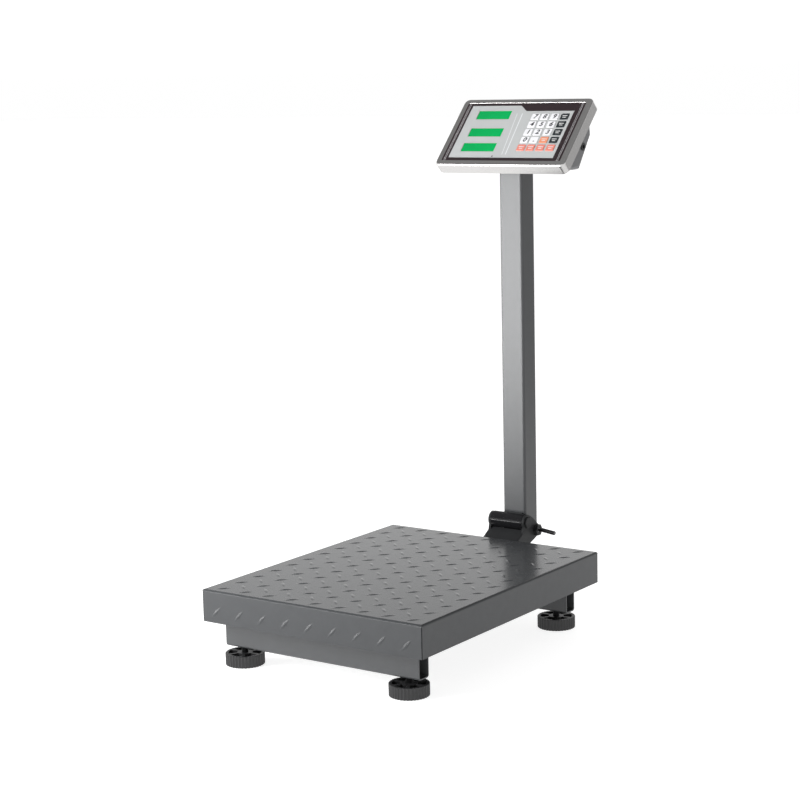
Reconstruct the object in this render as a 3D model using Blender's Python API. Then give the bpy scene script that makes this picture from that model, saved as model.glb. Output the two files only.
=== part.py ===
"""Platform shipping scale with a folding column and a tilting head.

Sizes are in millimetres, X to the right, Y to the back and Z up from the floor.
The last step moves the whole scale so that the origin is under the middle of its box.
"""
import math

import bmesh
import bpy
from mathutils import Matrix, Vector

MM = 0.001
# Clearance between neighbouring pieces, and how far a cutter runs past what it cuts.
GAP = 0.3
RUN_OUT = 1.0

# Folded tread-plate pan.
PAN_WIDTH = 400.0
PAN_LENGTH = 500.0
PAN_TOP = 118.0
SKIRT = 50.0
SHEET = 2.0
PAN_BEND = 2.5
PAN_BACK = PAN_LENGTH / 2

# Raised bars of the tread, in two sets that lean opposite ways.
TREAD_PITCH_X = 43.3
TREAD_PITCH_Y = 42.2
TREAD_EDGE = 15.0
TREAD_COLUMNS = 1 + int((PAN_WIDTH - 2 * TREAD_EDGE) / TREAD_PITCH_X)
TREAD_ROWS = 1 + int((PAN_LENGTH - 2 * TREAD_EDGE) / TREAD_PITCH_Y)
BAR_LENGTH = 27.5
BAR_WIDTH = 7.0
BAR_HEIGHT = 1.2
BAR_SINK = 0.6
CREST_SHARE = 0.55
SKIRT_BAR_DROP = 33.0
SKIRT_BAR_Z = PAN_TOP - SKIRT_BAR_DROP

# Cross tubes of the lower frame.
TUBE_INSET = 23.0
TUBE_LENGTH = PAN_WIDTH - 2 * TUBE_INSET
TUBE_DEPTH = 25.0
TUBE_HEIGHT = 50.0
TUBE_BOTTOM = 27.0
TUBE_WALL = 2.0
FRONT_TUBE_INSET = 37.0
REAR_TUBE_INSET = 49.0
FRONT_TUBE_Y = FRONT_TUBE_INSET - PAN_LENGTH / 2
REAR_TUBE_Y = PAN_LENGTH / 2 - REAR_TUBE_INSET

# Levelling feet.
FOOT_INSET = 26.0
FOOT_X = TUBE_LENGTH / 2 - FOOT_INSET
PAD_RADIUS = 30.0
PAD_HEIGHT = 18.0
PAD_FLUTES = 36
PAD_FLUTE_DEPTH = 1.3
PAD_RIM = 5.0
PAD_HUB = 12.0
PAD_SPOKES = 6
SPOKE_TURN = 0.26
POCKET_FLOOR = 8.0
SOCKET_FLOOR = 6.0
STUD_RADIUS = 5.0
STUD_TOP = 62.0
STUD_CHAMFER = 1.5

# Weigh frame, load cell and spine, stacked down from the pan.
BUMPER_ROOM = 4.0
BUMPER_RADIUS = 15.0
BUMPER_INSET = 30.0
RAIL_INSET = 30.0
RAIL_END = 100.0
RAIL_HEIGHT = 7.0
RAIL_WIDTH = 40.0
RAIL_LENGTH = PAN_WIDTH - 2 * RAIL_INSET
RAIL_Y = PAN_LENGTH / 2 - RAIL_END
RAIL_TOP = PAN_TOP - SHEET - BUMPER_ROOM
BUMPER_X = RAIL_LENGTH / 2 - BUMPER_INSET
WEIGH_SPINE_END = 60.0
WEIGH_SPINE_HEIGHT = 7.7
WEIGH_SPINE_LENGTH = PAN_LENGTH - 2 * WEIGH_SPINE_END
WEIGH_SPINE_TOP = RAIL_TOP - RAIL_HEIGHT - GAP
WEIGH_SPINE_BOTTOM = WEIGH_SPINE_TOP - WEIGH_SPINE_HEIGHT
CELL_LENGTH = 150.0
CELL_WIDTH = 40.0
CELL_HEIGHT = 32.0
CELL_SPACER = 45.0
CELL_LIFT = 4.0
CELL_EYE = 11.0
CELL_EYE_Y = 18.0
CELL_SLOT = 8.0
CELL_TOP = WEIGH_SPINE_BOTTOM - CELL_LIFT
CELL_BOTTOM = CELL_TOP - CELL_HEIGHT
SPINE_WIDTH = 60.0
SPINE_HEIGHT = 25.0
SPINE_TOP = CELL_BOTTOM - CELL_LIFT

# Beam that carries the hinge, and the hinge on it.
SKIRT_CLEAR = 6.0
OUTRIGGER_TOP = PAN_TOP - SKIRT - SKIRT_CLEAR
OUTRIGGER_WIDTH = 70.0
OUTRIGGER_END = 14.0
AXIS_BACK = 57.0
AXIS_RISE = 17.5
AXIS_Y = PAN_BACK + AXIS_BACK
AXIS_Z = PAN_TOP + AXIS_RISE
BARREL_RADIUS = 13.5
BARREL_HALF = 30.0
PIN_RADIUS = 6.0
PIN_HEAD = 9.0
PIN_HEAD_HEIGHT = 2.5
PIN_CHAMFER = 1.2
CHEEK = 4.0
LUG_RADIUS = 13.0
LUG_START = math.radians(215.0)
LUG_SWEEP = math.radians(150.0)
LUG_STEPS = 8
HOOD_FRONT = 39.0
HOOD_SHOULDER = 32.0
HOOD_WALL = 3.0
HOOD_CLEAR = 0.7
HOOD_TURN = math.radians(240.0)
HOOD_LIP = 1.5
KNEE_RADIUS = 20.9
KNEE_TURN = math.radians(232.0)
SEAT_FRONT = 5.0
SEAT_LENGTH = 17.0
SEAT_DROP = 5.0
SADDLE_HALF = 17.0
SADDLE_FRONT = 6.0
SADDLE_TOP = 12.0
SADDLE_BOTTOM = 28.0
SADDLE_CLEAR = 1.5

# Folding column.
COLUMN_SIDE = 43.0
COLUMN_DEPTH = 40.0
COLUMN_WALL = 2.0
COLUMN_CORNER = 4.0
COLUMN_RISE = 600.0
COLUMN_DROP = 32.0
COLUMN_FRONT = AXIS_Y + BARREL_RADIUS + SADDLE_CLEAR
COLUMN_Y = COLUMN_FRONT + COLUMN_DEPTH / 2
COLUMN_BOTTOM = AXIS_Z - COLUMN_DROP
COLUMN_TOP = PAN_TOP + COLUMN_RISE
PLUG_DEPTH = 30.0
CAP_HEIGHT = 2.0

# Spring lock pin.
LOCK_BACK = 29.0
LOCK_DOWN = 18.0
LOCK_RADIUS = 4.0
LOCK_NECK = 2.0
LOCK_NECK_LENGTH = 11.0
LOCK_SLEEVE = 3.5
LOCK_HANDLE = 19.0
LOCK_SOCKET = 6.0
LOCK_BOSS = 6.0
LOCK_NUT = 10.0
LOCK_TAPER = 1.0
LOCK_TAPER_LENGTH = 2.0
LOCK_DROOP = math.radians(7.0)
# Ear of the cheeks that carries the lock, as (back, up) pairs from the lock's axis.
LOCK_EAR = ((-10.0, 22.0), (11.0, 5.0), (4.0, -10.0))

# Tilting head: the stainless bezel and what it frames, placed by the lower edge of its face.
HEAD_WIDTH = 247.0
HEAD_HEIGHT = 146.0
HEAD_DEPTH = 20.5
HEAD_CORNER = 10.0
HEAD_ROUND = 4.0
HEAD_ANGLE = math.radians(46.0)
HEAD_FORWARD = 59.7
HEAD_RISE = 9.5
FACE_Y = COLUMN_Y - HEAD_FORWARD
FACE_Z = COLUMN_TOP + HEAD_RISE
BEZEL_WALL = 2.0
BEZEL_FACE = 4.0
OVERLAY_SIDE = 7.3
OVERLAY_END = 10.3
OVERLAY_WIDTH = HEAD_WIDTH - 2 * OVERLAY_SIDE
OVERLAY_HEIGHT = HEAD_HEIGHT - 2 * OVERLAY_END
OVERLAY_SHEET = 1.5
OVERLAY_DROP = 0.3
OVERLAY_CORNER = 2.7
LEDGE = 5.0
BOARD_MARGIN = 3.0
BOARD_CORNER = 4.0
BOARD_SHEET = 1.6

# Moulded rear cover; its back is given as pairs up from the head's lower edge and out of its face.
COVER_INSET = 15.5
COVER_HALF = HEAD_WIDTH / 2 - COVER_INSET
COVER_WALL = 2.5
COVER_ROUND = 6.0
COVER_LIP = 8.6
COVER_STEP = 4.0
COVER_BACK = ((49.2, -64.7), (114.5, -54.4), (123.2, -43.3), (125.5, -29.9))

# Tilt joint: a tongue on the column in a slot of the cover, and a well for the column's top.
TILT_BACK = 4.0
TILT_RISE = 26.0
TILT_Y = COLUMN_Y + TILT_BACK
TILT_Z = COLUMN_TOP + TILT_RISE
TONGUE_HALF = 8.0
TONGUE_RADIUS = 9.0
TONGUE_ROOT = 5.0
BOLT_RADIUS = 3.0
BOLT_HEAD = 5.0
BOLT_HEAD_HEIGHT = 3.0
SLOT_CLEAR = 2.0
SLOT_SHOULDER = 4.0
SLOT_ROOF = 6.0
SLOT_DEPTH = 40.0
SLOT_FLARE = math.radians(14.0)
HOUSING_FRONT = 23.0
HOUSING_TOP = 15.5
WELL_CLEAR = 1.5
WELL_SWING = 7.0
WELL_HEADROOM = 10.0

# Power inlet and battery.
INLET_BACK = 25.0
INLET_RISE = 10.0
INLET_RADIUS = 4.5
INLET_FLANGE = 6.5
INLET_FLANGE_HEIGHT = 1.8
INLET_BORE = 3.2
INLET_DEPTH = 9.0
INLET_PIN = 1.0
INLET_FLOOR = 3.0
BATTERY_CLEAR = 2.0
BATTERY_END = 7.5
BATTERY_SET = 8.0
BATTERY_DEPTH = 38.0
BATTERY_HEIGHT = 27.0

# Keys and displays; rows and columns are in parts of the overlay, from its top left.
KEY_WIDTH = 15.0
KEY_HEIGHT = 13.4
KEY_PROUD = 0.6
KEY_CORNER = 1.5
KEY_FOOT = 3.4
KEY_ROUND = 0.4
KEY_COLUMNS = (0.627, 0.703, 0.782, 0.863)
KEY_ROWS = (0.247, 0.379, 0.513, 0.646, 0.779)
KEY_NAMES = (
    ("key_7", "key_8", "key_9", "key_dark_1"),
    ("key_4", "key_5", "key_6", "key_dark_2"),
    ("key_1", "key_2", "key_3", "key_dark_3"),
    ("key_0", "key_point", "key_orange", "key_dark_4"),
    ("key_red_1", "key_red_2", "key_red_3", "key_red_4"),
)

LCD_LEFT = 0.14
LCD_RIGHT = 0.412
LCD_DROP = 0.4
LCD_ROWS = ((0.137, 0.283), (0.442, 0.585), (0.699, 0.843))
LCD_NAMES = ("lcd_weight", "lcd_price", "lcd_total")

# Each finish: base colour, metallic and roughness.
FINISHES = {
    "charcoal_paint": ((0.055, 0.058, 0.062, 1.0), 0.4, 0.42),
    "gloss_black_paint": ((0.012, 0.012, 0.013, 1.0), 0.3, 0.2),
    "zinc_steel": ((0.55, 0.56, 0.57, 1.0), 1.0, 0.35),
    "alloy": ((0.7, 0.71, 0.72, 1.0), 1.0, 0.4),
    "rubber": ((0.02, 0.02, 0.02, 1.0), 0.0, 0.85),
    "black_plastic": ((0.02, 0.02, 0.021, 1.0), 0.0, 0.5),
    "stainless": ((0.56, 0.55, 0.54, 1.0), 1.0, 0.3),
    "grey_plastic": ((0.2, 0.2, 0.205, 1.0), 0.0, 0.5),
    "overlay": ((0.42, 0.44, 0.45, 1.0), 0.0, 0.35),
    "lcd_green": ((0.0, 0.42, 0.09, 1.0), 0.0, 0.2),
    "board_green": ((0.02, 0.16, 0.06, 1.0), 0.0, 0.5),
    "battery_grey": ((0.1, 0.1, 0.11, 1.0), 0.0, 0.6),
    "key_white": ((0.8, 0.8, 0.8, 1.0), 0.0, 0.4),
    "key_dark": ((0.02, 0.025, 0.03, 1.0), 0.0, 0.4),
    "key_orange": ((0.85, 0.3, 0.14, 1.0), 0.0, 0.4),
    "key_red": ((0.85, 0.26, 0.24, 1.0), 0.0, 0.4),
}


def clear_scene():
    """Remove every object that is already in the file."""
    for obj in list(bpy.data.objects):
        bpy.data.objects.remove(obj, do_unlink=True)


def material(name):
    """Return the Principled material of one finish, made on first use."""
    found = bpy.data.materials.get(name)
    if found:
        return found
    color, metallic, roughness = FINISHES[name]
    made = bpy.data.materials.new(name)
    made.use_nodes = True
    shader = made.node_tree.nodes["Principled BSDF"]
    shader.inputs["Base Color"].default_value = color
    shader.inputs["Metallic"].default_value = metallic
    shader.inputs["Roughness"].default_value = roughness
    return made


def from_bmesh(name, finish, bm):
    """Turn a bmesh in millimetres into a linked object in metres."""
    bmesh.ops.recalc_face_normals(bm, faces=bm.faces)
    bmesh.ops.scale(bm, vec=(MM, MM, MM), verts=bm.verts)
    mesh = bpy.data.meshes.new(name)
    bm.to_mesh(mesh)
    bm.free()
    obj = bpy.data.objects.new(name, mesh)
    obj.data.materials.append(material(finish))
    bpy.context.scene.collection.objects.link(obj)
    return obj


def on_axis(axis, along, a, b):
    """Place a 2-D point: (y, z) across X, (x, z) across Y, (x, y) across Z."""
    if axis == "X":
        return (along, a, b)
    if axis == "Y":
        return (a, along, b)
    return (a, b, along)


def prism(name, finish, axis, low, high, outline):
    """Extrude a closed outline along an axis."""
    bm = bmesh.new()
    ends = []
    for along in (low, high):
        ends.append([bm.verts.new(on_axis(axis, along, a, b)) for a, b in outline])
    count = len(outline)
    for i in range(count):
        j = (i + 1) % count
        bm.faces.new((ends[0][i], ends[0][j], ends[1][j], ends[1][i]))
    bm.faces.new(ends[0])
    bm.faces.new(ends[1])
    return from_bmesh(name, finish, bm)


def box(name, finish, low, high):
    """Make a plain box from its two corners."""
    outline = [(low[0], low[1]), (high[0], low[1]), (high[0], high[1]), (low[0], high[1])]
    return prism(name, finish, "Z", low[2], high[2], outline)


def rounded(width, height, radius, steps=4, center=(0.0, 0.0)):
    """Return a rounded rectangle, counter-clockwise."""
    points = []
    for corner in range(4):
        sx = 1 if corner in (0, 3) else -1
        sy = 1 if corner in (0, 1) else -1
        cx = center[0] + sx * (width / 2 - radius)
        cy = center[1] + sy * (height / 2 - radius)
        for step in range(steps + 1):
            turn = math.pi / 2 * (corner + step / steps)
            points.append((cx + radius * math.cos(turn), cy + radius * math.sin(turn)))
    return points


def tube(name, finish, axis, low, high, outer, inner):
    """Extrude a ring between two outlines that have the same number of points."""
    bm = bmesh.new()
    rings = []
    for outline in (outer, inner):
        for along in (low, high):
            rings.append([bm.verts.new(on_axis(axis, along, a, b)) for a, b in outline])
    outer_low, outer_high, inner_low, inner_high = rings
    count = len(outer)
    pairs = [(outer_low, outer_high), (inner_high, inner_low)]
    pairs += [(inner_low, outer_low), (outer_high, inner_high)]
    for first, second in pairs:
        for i in range(count):
            j = (i + 1) % count
            bm.faces.new((first[i], first[j], second[j], second[i]))
    return from_bmesh(name, finish, bm)


def box_section(name, finish, axis, low, high, width, height, center, wall):
    """Make a length of rectangular hollow section with rounded corners."""
    outer = rounded(width, height, 2 * wall, 3, center)
    inner = rounded(width - 2 * wall, height - 2 * wall, wall, 3, center)
    return tube(name, finish, axis, low, high, outer, inner)


def lathe(name, finish, axis, center, profile, steps=24):
    """Turn a profile of (along, radius) pairs that starts and ends on the axis."""
    bm = bmesh.new()
    rings = []
    for along, radius in profile:
        if radius == 0.0:
            rings.append([bm.verts.new(on_axis(axis, along, *center))])
            continue
        ring = []
        for i in range(steps):
            turn = math.tau * i / steps
            a = center[0] + radius * math.cos(turn)
            b = center[1] + radius * math.sin(turn)
            ring.append(bm.verts.new(on_axis(axis, along, a, b)))
        rings.append(ring)
    for first, second in zip(rings, rings[1:]):
        for i in range(steps):
            j = (i + 1) % steps
            corners = [first[i % len(first)], first[j % len(first)]]
            corners += [second[j % len(second)], second[i % len(second)]]
            bm.faces.new(list(dict.fromkeys(corners)))
    return from_bmesh(name, finish, bm)


def rod(name, finish, axis, low, high, center, radius, steps=24):
    """Make a plain round bar."""
    return lathe(name, finish, axis, center, [(low, 0.0), (low, radius), (high, radius), (high, 0.0)], steps)


def combine(obj, other, operation):
    """Join, cut or intersect two bodies exactly, and use up the second one."""
    other.hide_render = True
    other.display_type = "WIRE"
    modifier = obj.modifiers.new(operation, "BOOLEAN")
    modifier.operation = operation
    modifier.solver = "EXACT"
    modifier.object = other
    graph = bpy.context.evaluated_depsgraph_get()
    result = bpy.data.meshes.new_from_object(obj.evaluated_get(graph))
    obj.modifiers.clear()
    obj.data = result
    bpy.data.objects.remove(other, do_unlink=True)
    return obj


def join(obj, other):
    """Weld another body onto this one."""
    return combine(obj, other, "UNION")


def cut(obj, other):
    """Cut another body out of this one."""
    return combine(obj, other, "DIFFERENCE")


def soften(obj, width, segments, chosen):
    """Bevel the edges whose two ends, in millimetres, pass a test."""
    bm = bmesh.new()
    bm.from_mesh(obj.data)
    edges = []
    for edge in bm.edges:
        if chosen(edge.verts[0].co / MM, edge.verts[1].co / MM):
            edges.append(edge)
    bmesh.ops.bevel(bm, geom=edges, offset=width * MM, segments=segments, affect="EDGES", profile=0.5)
    bm.to_mesh(obj.data)
    bm.free()
    return obj


def set_pivot(obj, x, y, z):
    """Put an object's origin on its joint's axis without moving the body."""
    point = Vector((x, y, z)) * MM
    obj.data.transform(Matrix.Translation(-point))
    obj.location = point
    return obj


def tread_bars(name, finish, places):
    """Make lens-shaped bars as one operand: each place is (center, along, across, normal)."""
    bm = bmesh.new()
    half = BAR_LENGTH / 2
    wide = BAR_WIDTH / 2
    ring = [(half, 0.0), (half / 2, wide), (-half / 2, wide)]
    ring += [(-half, 0.0), (-half / 2, -wide), (half / 2, -wide)]
    end = half * CREST_SHARE
    for center, along, across, normal in places:
        foot = [bm.verts.new(center + a * along + c * across - BAR_SINK * normal) for a, c in ring]
        rim = [bm.verts.new(center + a * along + c * across) for a, c in ring]
        crest = [bm.verts.new(center + a * along + BAR_HEIGHT * normal) for a in (end, -end)]
        for i in range(6):
            j = (i + 1) % 6
            bm.faces.new((foot[i], foot[j], rim[j], rim[i]))
        bm.faces.new(foot)
        bm.faces.new((rim[1], rim[2], crest[1], crest[0]))
        bm.faces.new((rim[4], rim[5], crest[0], crest[1]))
        for tip, left, right, top in ((0, 5, 1, 0), (3, 2, 4, 1)):
            bm.faces.new((rim[tip], rim[right], crest[top]))
            bm.faces.new((rim[left], rim[tip], crest[top]))
    return from_bmesh(name, finish, bm)


def tread_places():
    """Return the places of both sets of bars on the pan, and of one row on the front skirt."""
    up = Vector((0.0, 0.0, 1.0))
    front = Vector((0.0, -1.0, 0.0))
    right = Vector((1.0, 0.0, 0.0))
    places = []
    for lean in (1, -1):
        along = Vector((1.0, lean, 0.0)).normalized()
        across = up.cross(along)
        columns = TREAD_COLUMNS if lean == 1 else TREAD_COLUMNS - 1
        rows = TREAD_ROWS if lean == 1 else TREAD_ROWS - 1
        for column in range(columns):
            for row in range(rows):
                x = (column - (columns - 1) / 2) * TREAD_PITCH_X
                y = (row - (rows - 1) / 2) * TREAD_PITCH_Y
                places.append((Vector((x, y, PAN_TOP)), along, across, up))
    along = (right + up).normalized()
    for column in range(TREAD_COLUMNS):
        x = (column - (TREAD_COLUMNS - 1) / 2) * TREAD_PITCH_X
        places.append((Vector((x, -PAN_LENGTH / 2, SKIRT_BAR_Z)), along, front.cross(along), front))
    return places


def build_pan():
    """Fold the tread-plate pan: a top, four skirts and the raised bars."""
    paint = "charcoal_paint"
    half_x = PAN_WIDTH / 2
    half_y = PAN_LENGTH / 2
    bottom = PAN_TOP - SKIRT
    pan = box("platform_pan", paint, (-half_x, -half_y, bottom), (half_x, half_y, PAN_TOP))
    soften(pan, PAN_BEND, 2, lambda a, b: min(a.z, b.z) > bottom + RUN_OUT)
    inside = box("pan_inside", paint, (SHEET - half_x, SHEET - half_y, bottom - RUN_OUT),
                 (half_x - SHEET, half_y - SHEET, PAN_TOP - SHEET))
    cut(pan, inside)
    join(pan, tread_bars("bars", paint, tread_places()))


def build_base():
    """Build the lower frame, the load cell and the frame under the pan."""
    paint = "charcoal_paint"
    half = TUBE_LENGTH / 2
    middle = TUBE_BOTTOM + TUBE_HEIGHT / 2
    for name, y in (("front_cross_tube", FRONT_TUBE_Y), ("rear_cross_tube", REAR_TUBE_Y)):
        beam = box_section(name, paint, "X", -half, half, TUBE_DEPTH, TUBE_HEIGHT, (y, middle), TUBE_WALL)
        for x in (-FOOT_X, FOOT_X):
            cut(beam, rod("hole", paint, "Z", TUBE_BOTTOM - RUN_OUT, TUBE_BOTTOM + TUBE_WALL + RUN_OUT,
                          (x, y), STUD_RADIUS + GAP))
    front = FRONT_TUBE_Y + TUBE_DEPTH / 2 + GAP
    back = REAR_TUBE_Y - TUBE_DEPTH / 2 - GAP
    box_section("base_spine", paint, "Y", front, back, SPINE_WIDTH, SPINE_HEIGHT,
                (0.0, SPINE_TOP - SPINE_HEIGHT / 2), TUBE_WALL)
    start = REAR_TUBE_Y + TUBE_DEPTH / 2 + GAP
    height = OUTRIGGER_TOP - TUBE_BOTTOM
    box_section("hinge_outrigger", paint, "Y", start, AXIS_Y + OUTRIGGER_END, OUTRIGGER_WIDTH, height,
                (0.0, TUBE_BOTTOM + height / 2), TUBE_WALL)
    build_load_cell()
    low = WEIGH_SPINE_BOTTOM
    long = WEIGH_SPINE_LENGTH / 2
    box("weigh_spine", paint, (-SPINE_WIDTH / 2, -long, low), (SPINE_WIDTH / 2, long, WEIGH_SPINE_TOP))
    for end, sign in (("front", -1), ("rear", 1)):
        y = sign * RAIL_Y
        box("weigh_rail_" + end, paint, (-RAIL_LENGTH / 2, y - RAIL_WIDTH / 2, WEIGH_SPINE_TOP + GAP),
            (RAIL_LENGTH / 2, y + RAIL_WIDTH / 2, RAIL_TOP))
        for side, x in (("left", -BUMPER_X), ("right", BUMPER_X)):
            rod("bumper_" + end + "_" + side, "rubber", "Z", RAIL_TOP + GAP, PAN_TOP - SHEET - GAP,
                (x, y), BUMPER_RADIUS)


def build_load_cell():
    """Build the single-point load cell with its two spacers and its dumb-bell cut-out."""
    alloy = "alloy"
    half = CELL_LENGTH / 2
    wide = CELL_WIDTH / 2
    past = wide + RUN_OUT
    cell = box("load_cell", alloy, (-wide, -half, CELL_BOTTOM), (wide, half, CELL_TOP))
    join(cell, box("lower", alloy, (-wide, -half, SPINE_TOP + GAP),
                   (wide, CELL_SPACER - half, CELL_BOTTOM + RUN_OUT)))
    join(cell, box("upper", alloy, (-wide, half - CELL_SPACER, CELL_TOP - RUN_OUT),
                   (wide, half, WEIGH_SPINE_BOTTOM - GAP)))
    middle = (CELL_BOTTOM + CELL_TOP) / 2
    for y in (-CELL_EYE_Y, CELL_EYE_Y):
        cut(cell, rod("eye", alloy, "X", -past, past, (y, middle), CELL_EYE))
    cut(cell, box("slot", alloy, (-past, -CELL_EYE_Y, middle - CELL_SLOT / 2),
                  (past, CELL_EYE_Y, middle + CELL_SLOT / 2)))


def build_feet():
    """Build the four levelling feet, each a fluted pad on a threaded stud."""
    rim = []
    for i in range(2 * PAD_FLUTES):
        radius = PAD_RADIUS - (PAD_FLUTE_DEPTH if i % 2 else 0.0)
        turn = math.pi * i / PAD_FLUTES
        rim.append((radius * math.cos(turn), radius * math.sin(turn)))
    for name, x, y in (("front_left", -FOOT_X, FRONT_TUBE_Y), ("front_right", FOOT_X, FRONT_TUBE_Y),
                       ("rear_left", -FOOT_X, REAR_TUBE_Y), ("rear_right", FOOT_X, REAR_TUBE_Y)):
        build_foot(name, x, y, rim)


def build_foot(name, x, y, rim):
    """Build one foot: the pad's top is hollowed between spokes around its hub."""
    plastic = "black_plastic"
    pad = prism("foot_pad_" + name, plastic, "Z", 0.0, PAD_HEIGHT, [(x + a, y + b) for a, b in rim])
    above = PAD_HEIGHT + RUN_OUT
    wall = PAD_RADIUS - PAD_RIM
    sweep = math.tau / PAD_SPOKES - SPOKE_TURN
    for i in range(PAD_SPOKES):
        start = math.tau * i / PAD_SPOKES + SPOKE_TURN / 2
        turns = [start + sweep * step / 4 for step in range(5)]
        pocket = [(x + wall * math.cos(turn), y + wall * math.sin(turn)) for turn in turns]
        pocket += [(x + PAD_HUB * math.cos(turn), y + PAD_HUB * math.sin(turn)) for turn in reversed(turns)]
        cut(pad, prism("pocket", plastic, "Z", POCKET_FLOOR, above, pocket))
    cut(pad, rod("socket", plastic, "Z", SOCKET_FLOOR, above, (x, y), STUD_RADIUS + GAP))
    set_pivot(pad, x, y, 0.0)
    low = SOCKET_FLOOR + GAP
    stud = lathe("foot_stud_" + name, "zinc_steel", "Z", (x, y),
                 [(low, 0.0), (low, STUD_RADIUS), (STUD_TOP - STUD_CHAMFER, STUD_RADIUS),
                  (STUD_TOP, STUD_RADIUS - STUD_CHAMFER), (STUD_TOP, 0.0)], 16)
    set_pivot(stud, x, y, 0.0)


def from_axis(points):
    """Shift (back, up) pairs from the hinge axis to (y, z)."""
    return [(AXIS_Y + back, AXIS_Z + up) for back, up in points]


def polar(radius, turn):
    """Return the (back, up) pair at a radius and a turn about an axis."""
    return (radius * math.cos(turn), radius * math.sin(turn))


def build_bracket():
    """Build the fixed hinge bracket: two cheeks, a front hood, a seat and the lock boss."""
    black = "gloss_black_paint"
    foot = OUTRIGGER_TOP + GAP - AXIS_Z
    inner = BARREL_HALF + GAP
    outer = inner + CHEEK
    under = inner + RUN_OUT
    shoulder = (-HOOD_FRONT, -HOOD_SHOULDER)
    outline = [(-HOOD_FRONT, foot), shoulder, polar(KNEE_RADIUS, KNEE_TURN)]
    for step in range(LUG_STEPS + 1):
        outline.append(polar(LUG_RADIUS, LUG_START - LUG_SWEEP * step / LUG_STEPS))
    back = SEAT_FRONT + HOOD_WALL
    stop = SEAT_FRONT + SEAT_LENGTH
    drop = -COLUMN_DROP - GAP
    outline += [(LOCK_BACK + a, b - LOCK_DOWN) for a, b in LOCK_EAR]
    outline += [(stop, drop), (back, drop - SEAT_DROP), (back, foot)]
    bracket = prism("hinge_bracket", black, "X", inner, outer, from_axis(outline))
    tip = polar(BARREL_RADIUS + HOOD_CLEAR, HOOD_TURN)
    hood = [(-HOOD_FRONT, foot), shoulder, tip, (tip[0] + HOOD_LIP, tip[1] - HOOD_WALL)]
    hood += [(HOOD_WALL - HOOD_FRONT, -HOOD_SHOULDER - HOOD_WALL / 2), (HOOD_WALL - HOOD_FRONT, foot)]
    join(bracket, prism("hood", black, "X", -under, under, from_axis(hood)))
    seat = [(back, foot), (back, drop - SEAT_DROP), (stop, drop - HOOD_WALL), (stop, drop)]
    seat += [(SEAT_FRONT, drop), (SEAT_FRONT, foot)]
    join(bracket, prism("seat", black, "X", -under, under, from_axis(seat)))
    join(bracket, prism("cheek", black, "X", -outer, -inner, from_axis(outline)))
    face = outer + LOCK_BOSS
    corners = [polar(LOCK_NUT, math.tau * i / 6) for i in range(6)]
    boss = [(LOCK_BACK + a, b - LOCK_DOWN) for a, b in corners]
    join(bracket, prism("boss", black, "X", outer - RUN_OUT, face, from_axis(boss)))
    eye = (AXIS_Y, AXIS_Z)
    cut(bracket, rod("pin_hole", black, "X", -outer - RUN_OUT, outer + RUN_OUT, eye, PIN_RADIUS + GAP))
    lock = (AXIS_Y + LOCK_BACK, AXIS_Z - LOCK_DOWN)
    cut(bracket, rod("lock_hole", black, "X", inner - RUN_OUT, face + RUN_OUT, lock, LOCK_RADIUS + GAP))
    seat_x = outer + GAP
    head = seat_x + PIN_HEAD_HEIGHT
    lathe("hinge_pin", black, "X", eye,
          [(-head, 0.0), (-head, PIN_HEAD - PIN_CHAMFER), (PIN_CHAMFER - head, PIN_HEAD),
           (-seat_x, PIN_HEAD), (-seat_x, PIN_RADIUS), (seat_x, PIN_RADIUS), (seat_x, PIN_HEAD),
           (head - PIN_CHAMFER, PIN_HEAD), (head, PIN_HEAD - PIN_CHAMFER), (head, 0.0)])
    build_lock(face, lock)


def build_lock(face, center):
    """Build the spring lock pin: plunger, thin neck and drooping sleeve."""
    black = "gloss_black_paint"
    tip = COLUMN_SIDE / 2 + GAP
    shoulder = face - RUN_OUT
    end = face + LOCK_NECK_LENGTH
    pin = lathe("lock_pin", black, "X", center,
                [(tip, 0.0), (tip, LOCK_RADIUS - LOCK_TAPER), (tip + LOCK_TAPER_LENGTH, LOCK_RADIUS),
                 (shoulder, LOCK_RADIUS), (shoulder, LOCK_NECK), (end, LOCK_NECK), (end, 0.0)], 16)
    start = end - LOCK_SOCKET
    sleeve = rod("sleeve", black, "X", start, start + LOCK_SOCKET + LOCK_HANDLE, center, LOCK_SLEEVE, 16)
    about = Vector((end, center[0], center[1])) * MM
    droop = Matrix.Rotation(LOCK_DROOP, 4, "Y")
    sleeve.data.transform(Matrix.Translation(about) @ droop @ Matrix.Translation(-about))
    join(pin, sleeve)
    set_pivot(pin, face, center[0], center[1])


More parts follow.
